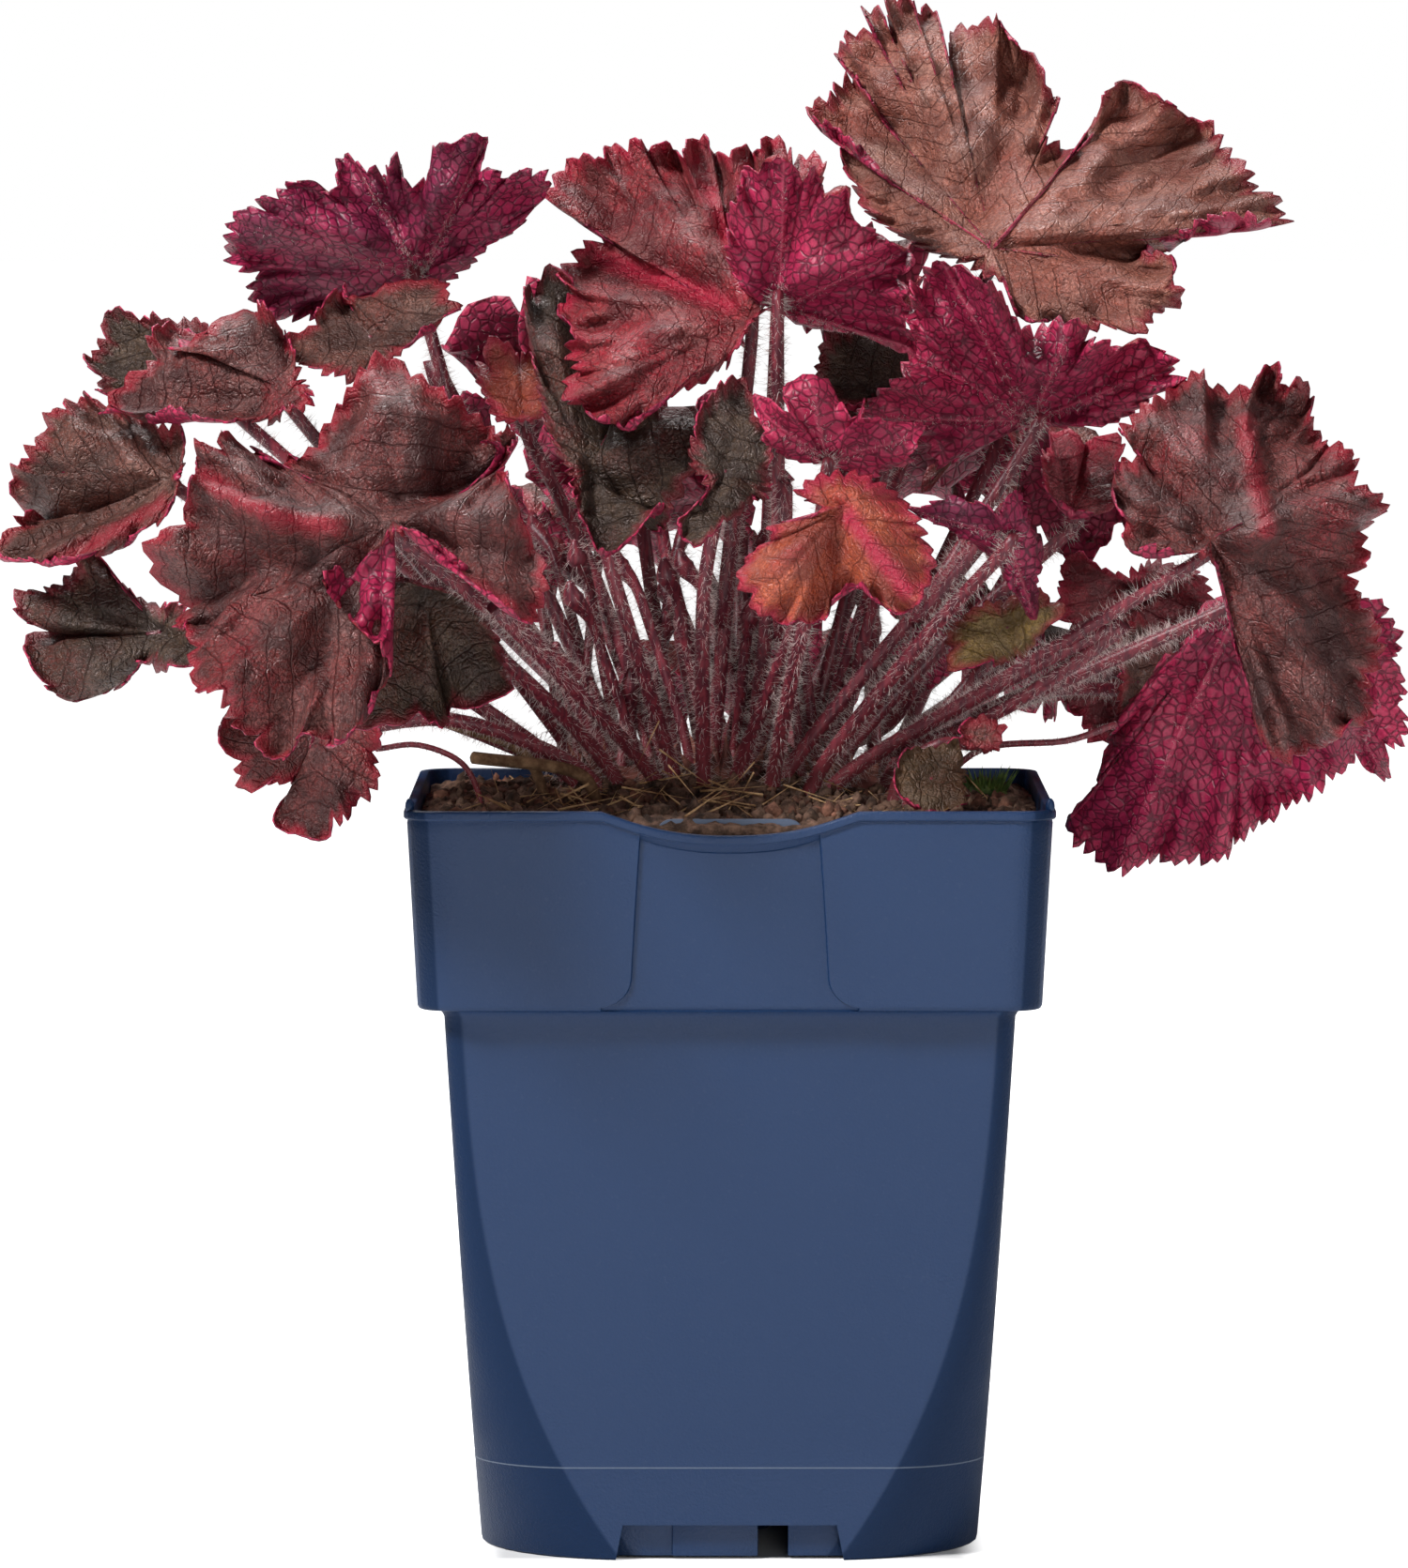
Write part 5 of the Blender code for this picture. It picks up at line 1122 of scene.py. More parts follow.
def plasticFinish(name, body, dusty, grain, corners=False):
    material, where = newMaterial(name)
    cloud = patches(where, "cloud")
    tone = mix(cloud * plastic["dust"], body, dusty)
    tone = mix(patches(where, "specks") * plastic["specks"], tone, dusty)
    tone = mix(patches(stretched(where, plastic["stretch"]), "rubbed") * plastic["rubs"], tone, dusty)
    shine = plastic["shine"]
    if corners:  # the big rounded corners low down get a darker colour as painted shade, and reflect less; a fine pale seam runs round
        x, y, z = split(where)
        x, y = abs(x), abs(y)
        past = larger(x, y) - x.math("MINIMUM", x, y)
        fall = larger(1.0 - z / (pot["collarLow"] * mm), 0.0)
        corner = fall**3.0 * (pot["footGain"] * mm) + pot["bodyCorner"] * mm
        cornerShadeMask = remap(corner - past, *(edge * mm for edge in plastic["cornerEdge"]))
        tone = mix(cornerShadeMask * plastic["cornerShare"], tone, tuple(plastic["cornerDark"] * c for c in body))
        shine = remap(cornerShadeMask, 0.0, 1.0, plastic["shine"], plastic["cornerShine"])
        line = remap(abs(z - pot["seam"] * mm), *(edge * mm for edge in plastic["seamWide"]), 1.0, 0.0)
        tone = mix(line * plastic["seamShare"], tone, plastic["seamTone"])
    return finish(material, {"Base Color": tone, "Roughness": remap(cloud, 0.0, 1.0, *plastic["rough"]),
                             "Specular IOR Level": shine,
                             "Normal": bump(noisy(where, *plastic["grain"]), grain, 0.00025)})


potPlastic = plasticFinish("potPlastic", (0.0045, 0.0275, 0.092), (0.017, 0.040, 0.104), 0.9, corners=True)
gripPlastic = plasticFinish("gripPlastic", (0.085, 0.115, 0.180), (0.140, 0.170, 0.240), 0.35)


def bodyWidth(z):
    return pot["bodyFoot"] + (pot["bodyTop"] - pot["bodyFoot"]) * z / pot["collarLow"]


def bodyCorner(z):
    return pot["bodyCorner"] + pot["footGain"] * max(0.0, 1 - z / pot["collarLow"]) ** 3


def collarWidth(z):
    share = (z - pot["collarLow"]) / (pot["height"] - pot["collarLow"])
    return pot["collarFoot"] + (pot["collarTop"] - pot["collarFoot"]) * share


def dipDrop(x, z):
    across = min(1.0, abs(x) / pot["dipReach"])
    fade = max(0.0, min(1.0, (z - (pot["height"] - pot["dipFade"])) / (pot["dipFade"] - pot["lip"])))
    return pot["dipDepth"] * (1 - across**2.4) ** 1.15 * fade


def recessHalf(z):
    # half the width of the recess, which flares out at its foot
    bend = pot["collarLow"] + pot["flare"]
    if z < bend:
        drop = min(1.0, (bend - z) / pot["flare"])
        return pot["recessFoot"] + pot["flare"] * (1 - math.sqrt(1 - drop * drop))
    return pot["recessFoot"] + (pot["recessTop"] - pot["recessFoot"]) * (z - bend) / (pot["height"] - bend)


def quarterArc(steps):
    # what a quarter turn adds outwards and upwards at each step
    angles = [math.pi / 2 * step / steps for step in range(1, steps + 1)]
    return [(1 - math.cos(angle), math.sin(angle)) for angle in angles]


def potRings():
    # (width, corner radius, height, wall) from the hidden underside, up the outside and down the inside;
    # the wall is 1 where it has the recess and 2 inside
    low, high, top, lip = pot["collarLow"], pot["height"], pot["height"] - pot["lip"], pot["lipWidth"]
    foot, collar, corner, wall = pot["bodyFoot"], pot["collarFoot"], pot["collarCorner"], pot["wall"]
    rings = [(bodyWidth(pot["floorUnder"]) - 4, bodyCorner(9) - 2, pot["floorUnder"], 0)]
    rings += [(foot - 2 * inset, bodyCorner(0) - inset, z, 0) for inset, z in ((2, 0.5), (1.3, 0.0), (0.6, 0.0))]
    for z in pot["bodyLevels"]:
        proud = pot["seamProud"] if abs(z - pot["seam"]) < 0.2 else 0
        rings.append((bodyWidth(z) + 2 * proud, bodyCorner(z) + proud, z, 0))
    # the hollow round under the collar, then the collar's lower edge
    rings += [(bodyWidth(low) + 3.2 * out, 4.5 + 1.6 * out, 128 + 1.6 * up, 0) for out, up in quarterArc(4)]
    rings += [(collar - 2.0, corner - 1, low - 1.1, 0), (collar - 0.8, corner - 0.3, low - 0.9, 1),
              (collar - 0.1, corner, low - 0.3, 1)]
    rings += [(collarWidth(low + z), corner, low + z, 1) for z in pot["collarLevels"]]
    rings += [(collarWidth(top) - 0.35, corner - 0.2, top - 0.45, 1),
              (collarWidth(top) - 0.35, corner - 0.2, top - 0.15, 0), (lip - 0.5, corner + 0.3, top, 0),
              (lip, corner + 0.4, top + 0.35, 0), (lip, corner + 0.4, high - 0.7, 0)]
    rings += [(lip - 1.4 * out, corner + 0.4, high - 0.7 + 0.7 * up, 0) for out, up in quarterArc(3)]
    rings += [(collarWidth(high) - 2 * wall + 1.0, corner - wall, high, 0),
              (collarWidth(high) - 2 * wall + 0.2, corner - wall, high - 0.2, 0)]
    rings += [(collarWidth(z) - 2 * wall - 0.01, corner - wall, z, 2)
              for z in (high - 0.7, high - 3, high - 8, high - 14, high - 22, low + 12, low + 1.4)]
    return rings + [(bodyWidth(z) - 2 * wall, max(2.6, bodyCorner(z) - wall), z, 2)
                    for z in (low, 78, 38, 22, pot["floorTop"])]


def sideStations(flat, edge):
    # where the columns stand along one side, from left to right: two of them straddle each edge of the recess
    edge = min(edge, flat - 1.2)
    clear = edge + pot["edge"]
    outside = [clear + (flat - clear) * (k / pot["flatSteps"]) ** 1.25 for k in range(pot["flatSteps"] + 1)]
    inside = [edge * (2 * k / pot["recessSteps"] - 1) for k in range(pot["recessSteps"] + 1)]
    return [-x for x in reversed(outside)] + inside + outside


def ringPoints(width, corner, z, wall):
    half = width / 2
    flat = half - corner
    stations = sideStations(flat, recessHalf(max(z, pot["collarLow"])))
    crease = pot["crease"] * min(1.0, max(0.0, (corner - 6) / 12)) if z < pot["collarLow"] - 3 else 0.0
    span = math.pi / 2 - 2 * math.radians(crease)  # a flatter arc through the same two ends
    radius = corner * math.sqrt(0.5) / math.sin(span / 2)
    inset = corner * 0.5 - radius * math.cos(span / 2) * math.sqrt(0.5)
    points = []
    for quarter in range(4):  # front, right, back, left
        turn = Matrix.Rotation(math.radians(90 * quarter), 2)
        for index, x in enumerate(stations):
            sunk = wall == 1 and pot["flatSteps"] < index < len(stations) - pot["flatSteps"] - 1
            spot = turn @ Vector((x, -half + (pot["recessDepth"] if sunk else 0)))
            drop = dipDrop(x, z) if quarter == 0 else 0
            if wall == 1 and z > pot["height"] - pot["lip"] - 1:
                drop += pot["bead"] * drop / pot["dipDepth"]
            points.append((spot.x, spot.y, z - drop))
        for step in range(1, pot["cornerSteps"]):
            angle = -math.pi / 4 - span / 2 + span * step / pot["cornerSteps"]
            spot = Vector((flat + inset + radius * math.cos(angle), -flat - inset + radius * math.sin(angle)))
            points.append((*(turn @ spot), z))
    return points


def boxPiece(name, low, high, bevel):
    low, high = Vector(low), Vector(high)
    bm = bmesh.new()
    bmesh.ops.create_cube(bm, size=1)
    bmesh.ops.scale(bm, verts=bm.verts, vec=high - low)
    bmesh.ops.translate(bm, verts=bm.verts, vec=(high + low) / 2)
    bmesh.ops.bevel(bm, geom=bm.edges[:], offset=bevel, segments=2, profile=0.5, affect="EDGES", material=-1)
    return newObject(name, toMesh(bm, name))


def drumPiece(name, x, y, low, high, radius, sides):
    bm = bmesh.new()
    bmesh.ops.create_cone(bm, cap_ends=True, segments=sides, radius1=radius, radius2=radius, depth=high - low)
    bmesh.ops.translate(bm, verts=bm.verts, vec=(x, y, (low + high) / 2))
    return newObject(name, toMesh(bm, name))


def quarterTurns(piece):
    copies = [piece]
    for quarter in (1, 2, 3):
        mesh = piece.data.copy()
        mesh.transform(Matrix.Rotation(math.radians(90 * quarter), 4, "Z"))
        copies.append(newObject(piece.name + str(quarter), mesh))
    return copies


def notchTool():
    # the block that cuts the notch out of the foot of the front
    bm = bmesh.new()
    bmesh.ops.create_cube(bm, size=1)
    for vert in bm.verts:
        upper = vert.co.z > 0
        half = pot["notchTop"] if upper else pot["notchFoot"] + 0.2
        depth = pot["bodyFoot"] if vert.co.y < 0 else pot["panelBack"] + 2
        vert.co = (math.copysign(half, vert.co.x), -depth, pot["notchHeight"] if upper else -1)
    return newObject("notch", toMesh(bm, "notch"))


def makeShell():
    rings = [ringPoints(*ring) for ring in potRings()]
    columns = len(rings[0])
    mesh, column, row = sheetGrid(columns, len(rings) - 1)
    setCo(mesh, np.array(rings)[row, column % columns] * mm)
    bm = bmesh.new()
    bm.from_mesh(mesh)
    bmesh.ops.remove_doubles(bm, verts=bm.verts, dist=0.002 * mm)
    bmesh.ops.holes_fill(bm, edges=[e for e in bm.edges if e.is_boundary])
    bmesh.ops.recalc_face_normals(bm, faces=bm.faces)
    shell = newObject("nurseryPot", toMesh(bm, "nurseryPot", crease=pot["sharp"], scale=1))
    tools = quarterTurns(notchTool())
    for x, y in ((1, 1), (-1, 1), (-1, -1), (1, -1)):
        tools.append(drumPiece("drain", x * pot["drainReach"], y * pot["drainReach"], pot["floorUnder"] - 2,
                               pot["floorTop"] + 2, pot["drain"], 32))
    cutOut(shell, tools)
    shell.data.shade_smooth()
    shell.data.set_sharp_from_angle(angle=math.radians(pot["sharp"]))
    return shell


def makePot():
    ceiling = pot["floorUnder"] + 0.6  # a little inside the pot's floor
    pieces = [makeShell(), drumPiece("hub", 0, 0, 0.1, ceiling, pot["hub"], 40)]
    for low, high, forward in pot["panels"]:
        y = -pot["panelBack"] - forward
        pieces += quarterTurns(boxPiece("panel", (low, y - 1, 0.7), (high, y + 1, ceiling), 0.35))
    x, y, radius, top = pot["nib"]
    for side in (-1, 1):
        bm = bmesh.new()
        bmesh.ops.create_uvsphere(bm, u_segments=12, v_segments=8, radius=1)
        bmesh.ops.scale(bm, verts=bm.verts, vec=(radius * 1.2, radius, (top - pot["height"]) / 2 + 0.6))
        bmesh.ops.translate(bm, verts=bm.verts, vec=(side * x, y, (top + pot["height"]) / 2 - 0.6))
        pieces.append(newObject("nib", toMesh(bm, "nib")))
    place(pieces, "pot", "pot_plastic", potPlastic)


plate = {"width": 34.7, "top": 174.4, "foot": 136.0, "thick": 1.6, "corner": 4, "round": 0.25,
         "ribs": (-11.0, 0.0, 11.0), "ribFoot": 160, "ribTop": 172.4}


def makePlate():
    front = 0.4 + pot["wall"] - pot["collarFoot"] / 2
    back = front + plate["thick"]
    top, foot = plate["top"], plate["foot"]
    bm = bmesh.new()
    bmesh.ops.create_cube(bm, size=1)
    bmesh.ops.scale(bm, verts=bm.verts, vec=(plate["width"], plate["thick"], top - foot))
    bmesh.ops.translate(bm, verts=bm.verts, vec=(0, (front + back) / 2, (top + foot) / 2))
    corners = [e for e in bm.edges if min(v.co.z for v in e.verts) > top - 1
               and abs(e.verts[0].co.x - e.verts[1].co.x) < 0.1]
    for edges, size, segments in ((corners, plate["corner"], 8), (bm.edges, plate["round"], 2)):
        bmesh.ops.bevel(bm, geom=edges[:], offset=size, segments=segments, profile=0.5, affect="EDGES", material=-1)
    pieces = [newObject("gripPlate", toMesh(bm, "gripPlate"))]
    for x in plate["ribs"]:  # a rib behind, and a thin one in front
        low, high = plate["ribFoot"], plate["ribTop"]
        pieces.append(boxPiece("rib", (x - 0.8, back - 0.4, low), (x + 0.8, back + 0.8, high), 0.3))
        pieces.append(boxPiece("rib", (x - 0.35, front - 0.25, low), (x + 0.35, front + 0.4, high + 1), 0.1))
    place(pieces, "grip_plate", "grip_plastic", gripPlastic)


makePot()
makePlate()
print("pot made")


# soil and what lies on it

soil = {"edge": 172.0, "mound": 8.0, "reach": 52.0, "cells": 128, "crumb": 2.4, "foot": 11.6, "draw": 11,
        "lumps": ((0.07, 1.3, 3.1), (0.2, 0.7, 8)), "crumbs": ((0.45, 0), (1.1, 4), 0.7), "rim": 3,
        "clods": {"count": 1300, "spare": 3.5, "size": (0.6, 2.6), "sunk": 0.55},
        "chips": {"count": 320, "spare": 4, "size": (0.6, 2.4), "sunk": 0.35},
        "fibres": {"count": 340, "spare": 9, "long": (3, 11), "wide": (0.09, 0.20), "lift": 0.3, "tilt": 0.5},
        "needles": {"count": 64, "spare": 14, "long": (8, 20), "wide": (0.20, 0.38), "lift": 3.0, "tilt": 0.7},
        "squash": (0.35, 1.25), "uneven": (0.72, 1.22), "heap": {"count": 46, "at": (-12, -46), "spread": (15, 9)}}


def soilHeight(x, y):
    away = math.hypot(x, y * 1.1) / soil["reach"]
    lumps = sum(high * noise.noise(Vector((x * gap, y * gap, level))) for gap, high, level in soil["lumps"])
    return soil["edge"] + soil["mound"] * math.exp(-away * away) + lumps


def soilHeights(spots):
    return np.array([soilHeight(x, y) for x, y in spots])


def peatFinish(name, dark, pale, share):
    material, where = newMaterial(name)
    bits = add(where.tree, "TexVoronoi", {"Vector": where, "Scale": 520.0})
    colour, near = (Wire(where.tree, bits.outputs[key]) for key in ("Color", "Distance"))
    tone = mix(patches(where, "crumbs"), dark, pale)
    tone = mix(colour * share, tone, (0.110, 0.060, 0.030))
    return finish(material, {"Base Color": tone, "Roughness": 0.88, "Specular IOR Level": 0.3,
                             "Normal": bump(noisy(where, 800.0, 5.0, 0.75) + near * 0.5, 0.9, 0.0009)})


peat = peatFinish("peat", (0.026, 0.015, 0.012), (0.280, 0.160, 0.112), 0.35)
straw = peatFinish("straw", (0.340, 0.180, 0.080), (0.760, 0.500, 0.260), 0.08)
bark = peatFinish("bark", (0.080, 0.034, 0.024), (0.360, 0.160, 0.104), 0.20)


def scattered(draw, kind, half):
    # random places on the soil inside the pot
    half -= soil[kind]["spare"]
    return draw.uniform(-half, half, (soil[kind]["count"], 2))


def clods(name, draw, half, material):
    # many small crumbly lumps in one mesh
    kind = soil[name]
    spots = scattered(draw, name, half)
    sizes = draw.uniform(*kind["size"], kind["count"])
    shape, triangles = smallShape(bmesh.ops.create_icosphere, subdivisions=1, radius=1)
    squash = draw.uniform(*soil["squash"], (len(spots), 1, 3))
    uneven = draw.uniform(*soil["uneven"], (len(spots), len(shape), 1))
    middle = np.column_stack([spots, soilHeights(spots) + sizes * (1 - kind["sunk"])])
    mesh = manyMesh(name, shape[None] * squash * uneven * sizes[:, None, None] + middle[:, None], triangles)
    mesh.shade_smooth()
    return newObject(name, mesh, material)


def lyingCones(name, draw, half):
    kind = soil[name]
    spots = scattered(draw, name, half)
    if name == "needles":  # most of them lie in a heap in front of the crowns
        heap = soil["heap"]
        spots[:heap["count"]] = draw.normal(heap["at"], heap["spread"], (heap["count"], 2)).clip(-60, 60)
    lengths, widths = (draw.uniform(*kind[key], len(spots)) for key in ("long", "wide"))
    angle = draw.uniform(0, 2 * np.pi, len(spots))
    ways = np.stack([np.cos(angle), np.sin(angle), draw.normal(0, kind["tilt"], len(spots))], 1)
    feet = np.column_stack([spots, soilHeights(spots) + kind["lift"]]) - ways * lengths[:, None] / 2
    ends = feet + ways * lengths[:, None]
    for end in (feet, ends):
        end[:, 2] = np.maximum(end[:, 2], soilHeights(end[:, :2]) + widths)
    return newObject(name, scatterCones(name, feet, ends - feet, lengths, widths, sides=4), straw)


def roundOff(x, y, half, corner):
    # pulls a place back onto the rounded corner of a square
    over = Vector((max(abs(x) - half + corner, 0), max(abs(y) - half + corner, 0)))
    if over.x > 0 and over.y > 0 and over.length > corner:
        over *= corner / over.length
        x = math.copysign(half - corner + over.x, x)
        y = math.copysign(half - corner + over.y, y)
    return x, y


def soilSkirt():
    # (half width, corner, height) of the hidden sides of the soil, down to the pot's floor
    inset = pot["wall"] + 0.5
    wide = pot["collarFoot"] / 2 - inset
    levels = [(wide + 0.6, 6.5, 150.0), (wide, 6.5, 133.6)]
    return levels + [(bodyWidth(z) / 2 - inset, bodyCorner(z), z) for z in (131.0, 90.0, 50.0, 25.0, soil["foot"])]


def makeSoil():
    half = pot["collarTop"] / 2 - pot["wall"] - 0.6
    (coarse, first), (fine, second), share = soil["crumbs"]
    bm = bmesh.new()
    bmesh.ops.create_grid(bm, x_segments=soil["cells"], y_segments=soil["cells"], size=half)
    for vert in bm.verts:
        x, y = roundOff(vert.co.x, vert.co.y, half, pot["collarCorner"] - pot["wall"])
        rim = min(1.0, (half - max(abs(x), abs(y))) / soil["rim"])
        crumbs = noise.noise(Vector((x, y, first)) * coarse)
        crumbs += share * abs(noise.noise(Vector((x, y, second)) * fine))
        vert.co = (x, y, soilHeight(x, y) + rim * soil["crumb"] * crumbs)
    border = [e for e in bm.edges if e.is_boundary]
    last = half
    for wide, corner, z in soilSkirt():
        made = bmesh.ops.extrude_edge_only(bm, edges=border)["geom"]
        border = [g for g in made if isinstance(g, bmesh.types.BMEdge)]
        for vert in made:
            if isinstance(vert, bmesh.types.BMVert):
                vert.co = (*roundOff(vert.co.x * wide / last, vert.co.y * wide / last, wide, corner), z)
        last = wide
    bmesh.ops.holes_fill(bm, edges=border)
    bmesh.ops.recalc_face_normals(bm, faces=bm.faces)
    pieces = [newObject("peatSoil", toMesh(bm, "peatSoil", crease=80), peat)]
    draw = np.random.default_rng(soil["draw"])
    pieces += [clods("clods", draw, half, peat), clods("chips", draw, half, bark)]
    pieces += [lyingCones("fibres", draw, half), lyingCones("needles", draw, half)]
    place(pieces, "soil", "peat")


makeSoil()


# crowns, stems and moss

crowns = {"crown_left": (-27, -6, 13, 12), "crown_middle": (0, -8, 10, 11), "crown_right": (27, -7, 13, 12)}
crown = {"rise": 5.0, "depth": 16.0, "scales": 26, "scaleLong": (6, 12), "scaleWide": (1.4, 2.6), "draw": 23,
         "young": 12, "youngTall": (28, 66), "youngWide": (1.1, 1.7), "youngLean": 0.42, "youngHairs": 8,
         "youngBend": ((0.15, 0.35, 0), (0.55, 0.8, 0), (0.75, 1, 0), (0.95, 1, 5), (1, 1, 9)),
         "bud": (2.6, 0.8), "spread": 0.85, "lean": 0.8, "youngSeed": 60}
stemHairs = {"seed": 90, "long": (0.4, 1.1), "wide": (0.05, 0.07)}
stems = {  # root (x, y), points (x, z, y) passed, radius, hairs per mm
    "stub_stem": ((-31, -30), ((-38, 181, -33), (-61, 184, -38)), 1.5, 0),
    "low_stem": ((-43, -18), ((-50, 186, -22), (-66, 192, -28)), 1.3, 0),
    "thin_stalk_left": ((-58, -22), ((-64, 183, -24), (-74, 187, -26), (-84, 186, -28)), 0.7, 5),
    "thin_stalk_right": ((48, -22), ((60, 186, -24), (80, 188, -26), (92, 192, -26)), 0.8, 5),
}
moss = {"x": 61.0, "y": 4.0, "wide": 5.5, "deep": 4.5, "low": -1.5, "high": 3.5, "shoots": 60, "long": (3.5, 8),
        "thick": (0.35, 0.7), "lean": 0.7, "draw": 5}


def crownFinish():
    material, where = newMaterial("crownScales")
    tone = mix(patches(where, "scales"), (0.090, 0.022, 0.018), (0.300, 0.110, 0.080))
    tone = mix(patches(where, "rot"), tone, (0.050, 0.020, 0.014))
    return finish(material, {"Base Color": tone, "Roughness": 0.7,
                             "Normal": bump(noisy(where, 700.0, 4.0), 0.8, 0.0006)})


def mossFinish():
    material, where = newMaterial("mossGreen")
    tone = mix(patches(where, "shoots"), (0.030, 0.070, 0.010), (0.130, 0.200, 0.036))
    return finish(material, {"Base Color": tone, "Roughness": 0.7}, (0.2, 0.34, 0.05), 0.2)


crownScales = crownFinish()
mossGreen = mossFinish()


def lump(name, x, y, low, high, wide, deep, *materials, swells=(0.14, 0.05)):
    bm = bmesh.new()
    bmesh.ops.create_uvsphere(bm, u_segments=36, v_segments=22, radius=1)
    for vert in bm.verts:
        swell = 1 + swells[0] * noise.noise(vert.co * 1.7 + Vector((x, y, 0)))
        swell += swells[1] * noise.noise(vert.co * 7)
        vert.co = Vector((vert.co.x * wide, vert.co.y * deep, vert.co.z * (high - low) / 2)) * swell
    bmesh.ops.translate(bm, verts=bm.verts, vec=(x, y, (low + high) / 2))
    return newObject(name, toMesh(bm, name, crease=80), *materials)


def youngStalk(name, draw, index, x, y, wide, deep):
    # a young stalk among the old ones, ending in a leaf still folded up
    heading = draw.uniform(0.15, 0.85) * np.pi + (np.pi if index % 3 == 0 else 0)
    tall = draw.uniform(*crown["youngTall"])
    foot = Vector((x + draw.uniform(-0.9, 0.9) * wide, y + draw.uniform(-0.6, 1.3) * deep, stalk["root"]))
    lean = Vector((math.cos(heading) + x / 60, math.sin(heading), 0)) * crown["youngLean"] * tall
    route = [foot] + [foot + lean * out + Vector((0, 0, tall * up + more)) for out, up, more in crown["youngBend"]]
    thick = draw.uniform(*crown["youngWide"])
    radii = [thick * 1.3, thick, thick, thick, *crown["bud"]]
    return hairyTube(name + "Young", route, radii, 5, stalkSkin, crown["youngHairs"],
                     crown["youngSeed"] + index)


def makeCrowns():
    draw = np.random.default_rng(crown["draw"])
    for node, (x, y, wide, deep) in crowns.items():
        top = soilHeight(x, y) + crown["rise"]
        name = nodeName(node)
        body = lump(name, x, y, top - crown["depth"], top, wide, deep, crownScales)
        count = crown["scales"]
        angle = draw.uniform(0, 2 * np.pi, count)
        reach = np.sqrt(draw.uniform(0, 1, count)) * crown["spread"]
        aside = np.stack([np.cos(angle), np.sin(angle)], 1) * reach[:, None]
        feet = np.column_stack([aside * (wide, deep) + (x, y), np.full(count, top - 4)])
        long, thick = (draw.uniform(*crown[key], count) for key in ("scaleLong", "scaleWide"))
        ways = np.column_stack([aside * crown["lean"], np.ones(count)])
        scales = scatterCones(name + "Scales", feet, ways, long, thick, sides=7)
        pieces = [body, newObject(name + "Scales", scales, crownScales)]
        for index in range(crown["young"]):
            pieces += youngStalk(name, draw, index, x, y, wide, deep)
        place(pieces, node, "crown")


def makeStems():
    stubWood = peatFinish("stubWood", (0.120, 0.060, 0.030), (0.330, 0.190, 0.100), 0.1)
    for seed, (node, ((x, y), posts, radius, perMm)) in enumerate(stems.items()):
        route = [Vector((x, y, stalk["root"])), Vector((x * 1.02, y * 1.02, stalk["root"] + 9))]
        route += [seen(*post) for post in posts]
        skin = stalkSkin if perMm else stubWood
        radii = [radius] * len(route)
        pieces = hairyTube(nodeName(node), route, radii, 6, skin, perMm, stemHairs["seed"] + seed,
                           stemHairs["long"], stemHairs["wide"])
        place(pieces, node, "dry_stem")


def makeMoss():
    x, y, count = moss["x"], moss["y"], moss["shoots"]
    ground = soilHeight(x, y)
    cushion = lump("mossTuft", x, y, ground + moss["low"], ground + moss["high"], moss["wide"], moss["deep"])
    draw = np.random.default_rng(moss["draw"])
    angle = draw.uniform(0, 2 * np.pi, count)
    aside = np.stack([np.cos(angle), np.sin(angle)], 1) * np.sqrt(draw.uniform(0, 1, count))[:, None]
    feet = np.column_stack([aside * (4.6, 3.7) + (x, y), np.full(count, ground + 1.5)])
    long, thick = (draw.uniform(*moss[key], count) for key in ("long", "thick"))
    ways = np.column_stack([aside * moss["lean"], np.ones(count)])
    shoots = scatterCones("mossShoots", feet, ways, long, thick, sides=5)
    place([cushion, newObject("mossShoots", shoots)], "moss_tuft", "moss", mossGreen)


makeCrowns()
makeStems()
makeMoss()
print("soil, crowns, stems and moss made")


# floor, light and camera

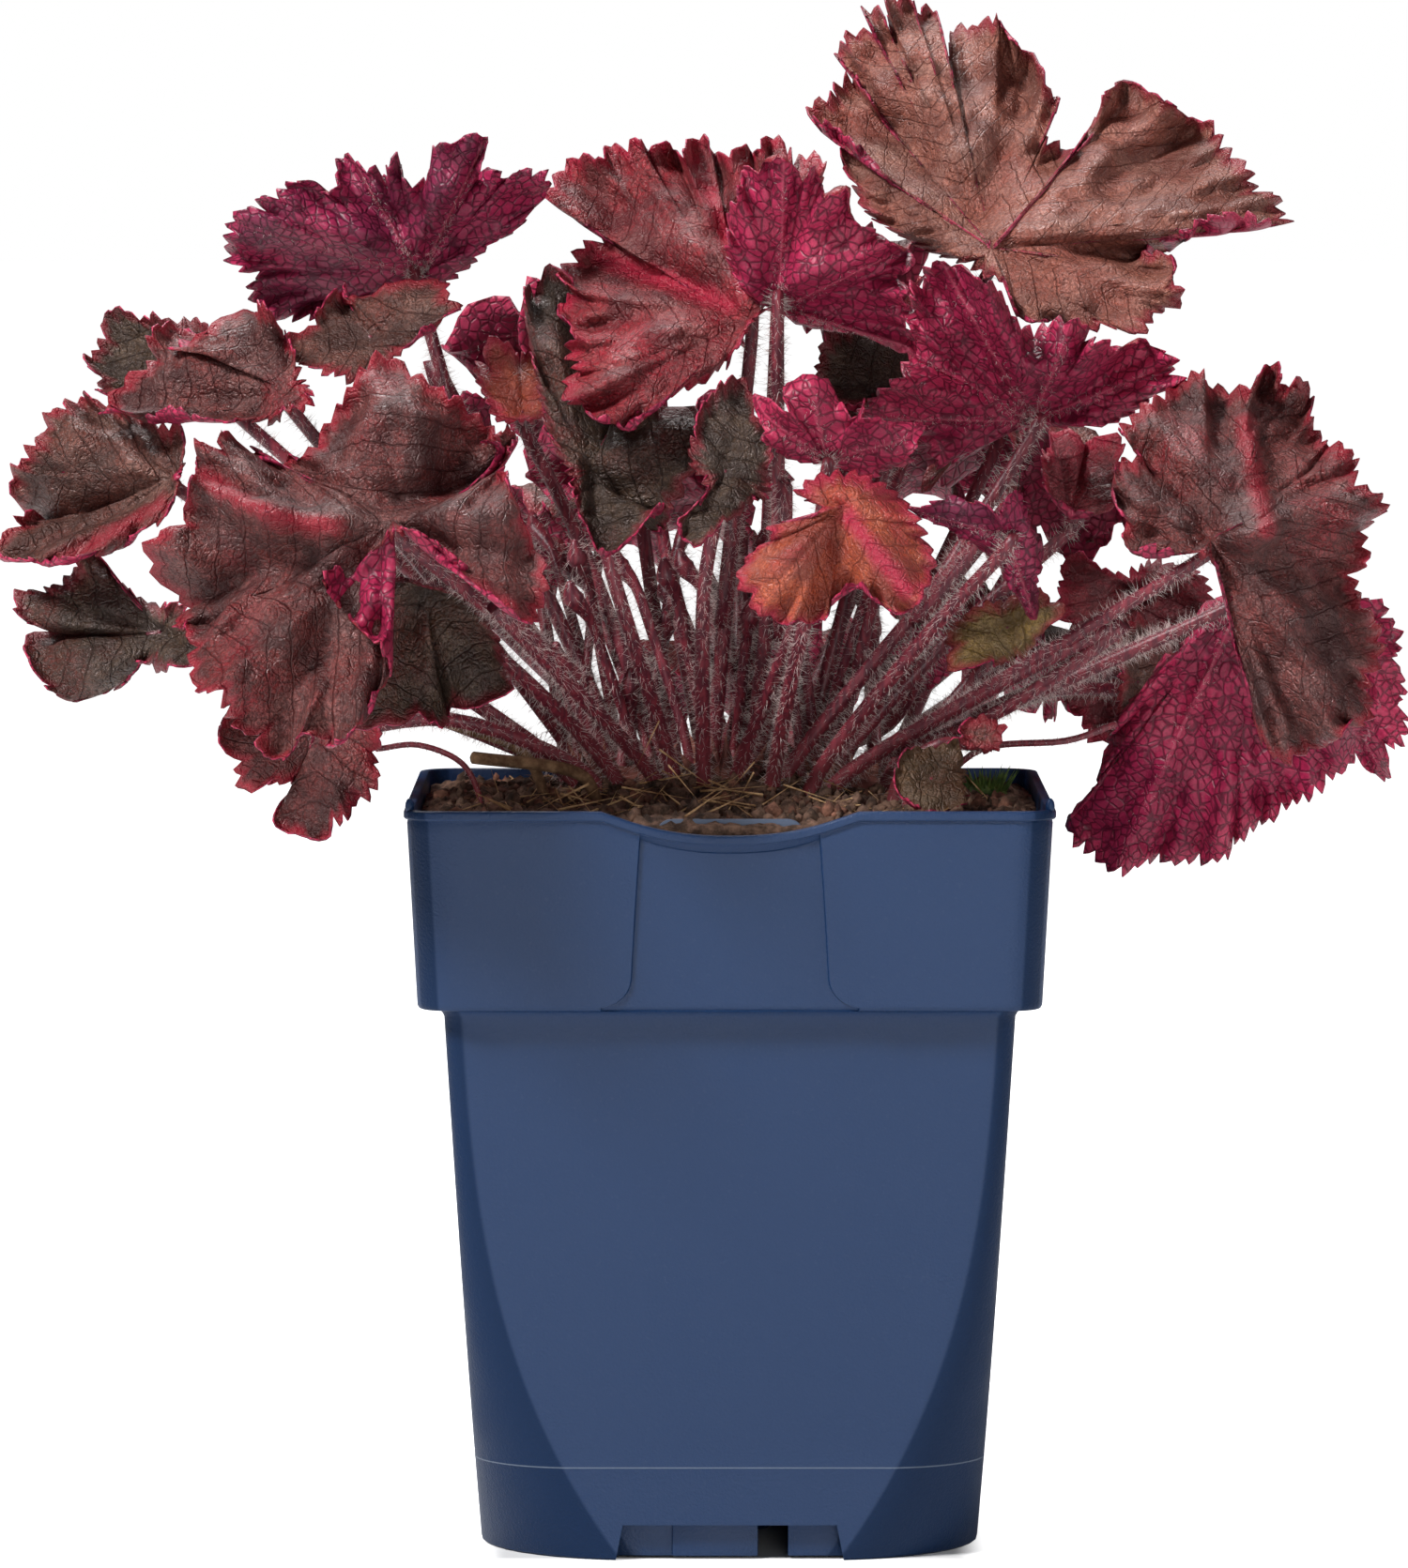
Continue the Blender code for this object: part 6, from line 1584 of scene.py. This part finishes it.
studio = {"wide": 60.0, "floor": 0.80, "white": 1.0, "glow": 0.05, "sky": 0.05, "potShade": (0.052, 0.062),
          "lamps": (  # place, aimed at, size, power
              ((-1.4, -1.2, 1.9), (0, 0, 0.26), 0.6, 80.0),
              ((0.4, -2.7, 0.20), (0, 0, 0.07), 0.8, 18.0),
              ((1.9, -0.5, 1.2), (0, 0, 0.24), 0.6, 12.0),
              ((-0.3, 1.2, 1.8), (0, 0, 0.28), 0.8, 26.0))}


def whiteToCamera(tree, others):
    # white where the camera looks, and much less in the light that the place gives
    return remap(put(tree, "LightPath", {}, "Is Camera Ray"), 0.0, 1.0, others, studio["white"], "LINEAR")


def makeStage():
    bm = bmesh.new()
    bmesh.ops.create_grid(bm, x_segments=2, y_segments=2, size=0.5 * studio["wide"])
    bmesh.ops.recalc_face_normals(bm, faces=bm.faces)
    material, where = newMaterial("paleFloor")
    x, y, _ = split(where)
    away = remap(larger(abs(x), abs(y)), *studio["potShade"])  # the floor under the pot is in the dark
    glow = whiteToCamera(where.tree, studio["glow"]) * away
    finish(material, {"Base Color": (studio["floor"],) * 3, "Roughness": 0.9, "Specular IOR Level": 0.2,
                      "Emission Color": (1, 1, 1), "Emission Strength": glow})
    newObject("floor", toMesh(bm, "floor", scale=1), material)


def makeLights():
    world = bpy.data.worlds.new("studio")
    bpy.context.scene.world = world
    world.use_nodes = True
    bright = whiteToCamera(world.node_tree, studio["sky"])
    connect(world.node_tree, world.node_tree.nodes["Background"], {0: (1, 1, 1), 1: bright})
    for index, (at, aim, size, power) in enumerate(studio["lamps"]):
        lamp = bpy.data.lights.new(f"softbox{index}", "AREA")
        lamp.shape = "DISK"
        lamp.size = size
        lamp.energy = power
        made = newObject(lamp.name, lamp)
        made.location = at
        made.rotation_euler = (Vector(aim) - Vector(at)).to_track_quat("-Z", "Y").to_euler()


def makeCamera():
    lens = bpy.data.cameras.new("camera")
    lens.lens = view["lens"]
    lens.clip_start = 0.1
    lens.clip_end = 20
    camera = newObject("camera", lens)
    camera.location = Vector((view["x"], view["y"], view["z"])) * mm
    camera.rotation_euler = (math.radians(90 - view["down"]), 0, 0)
    bpy.context.scene.camera = camera


makeStage()
makeLights()
makeCamera()
bpy.context.scene.view_settings.view_transform = "Standard"
bpy.context.scene.view_settings.look = "None"

bpy.context.view_layer.update()
print("scene ready")
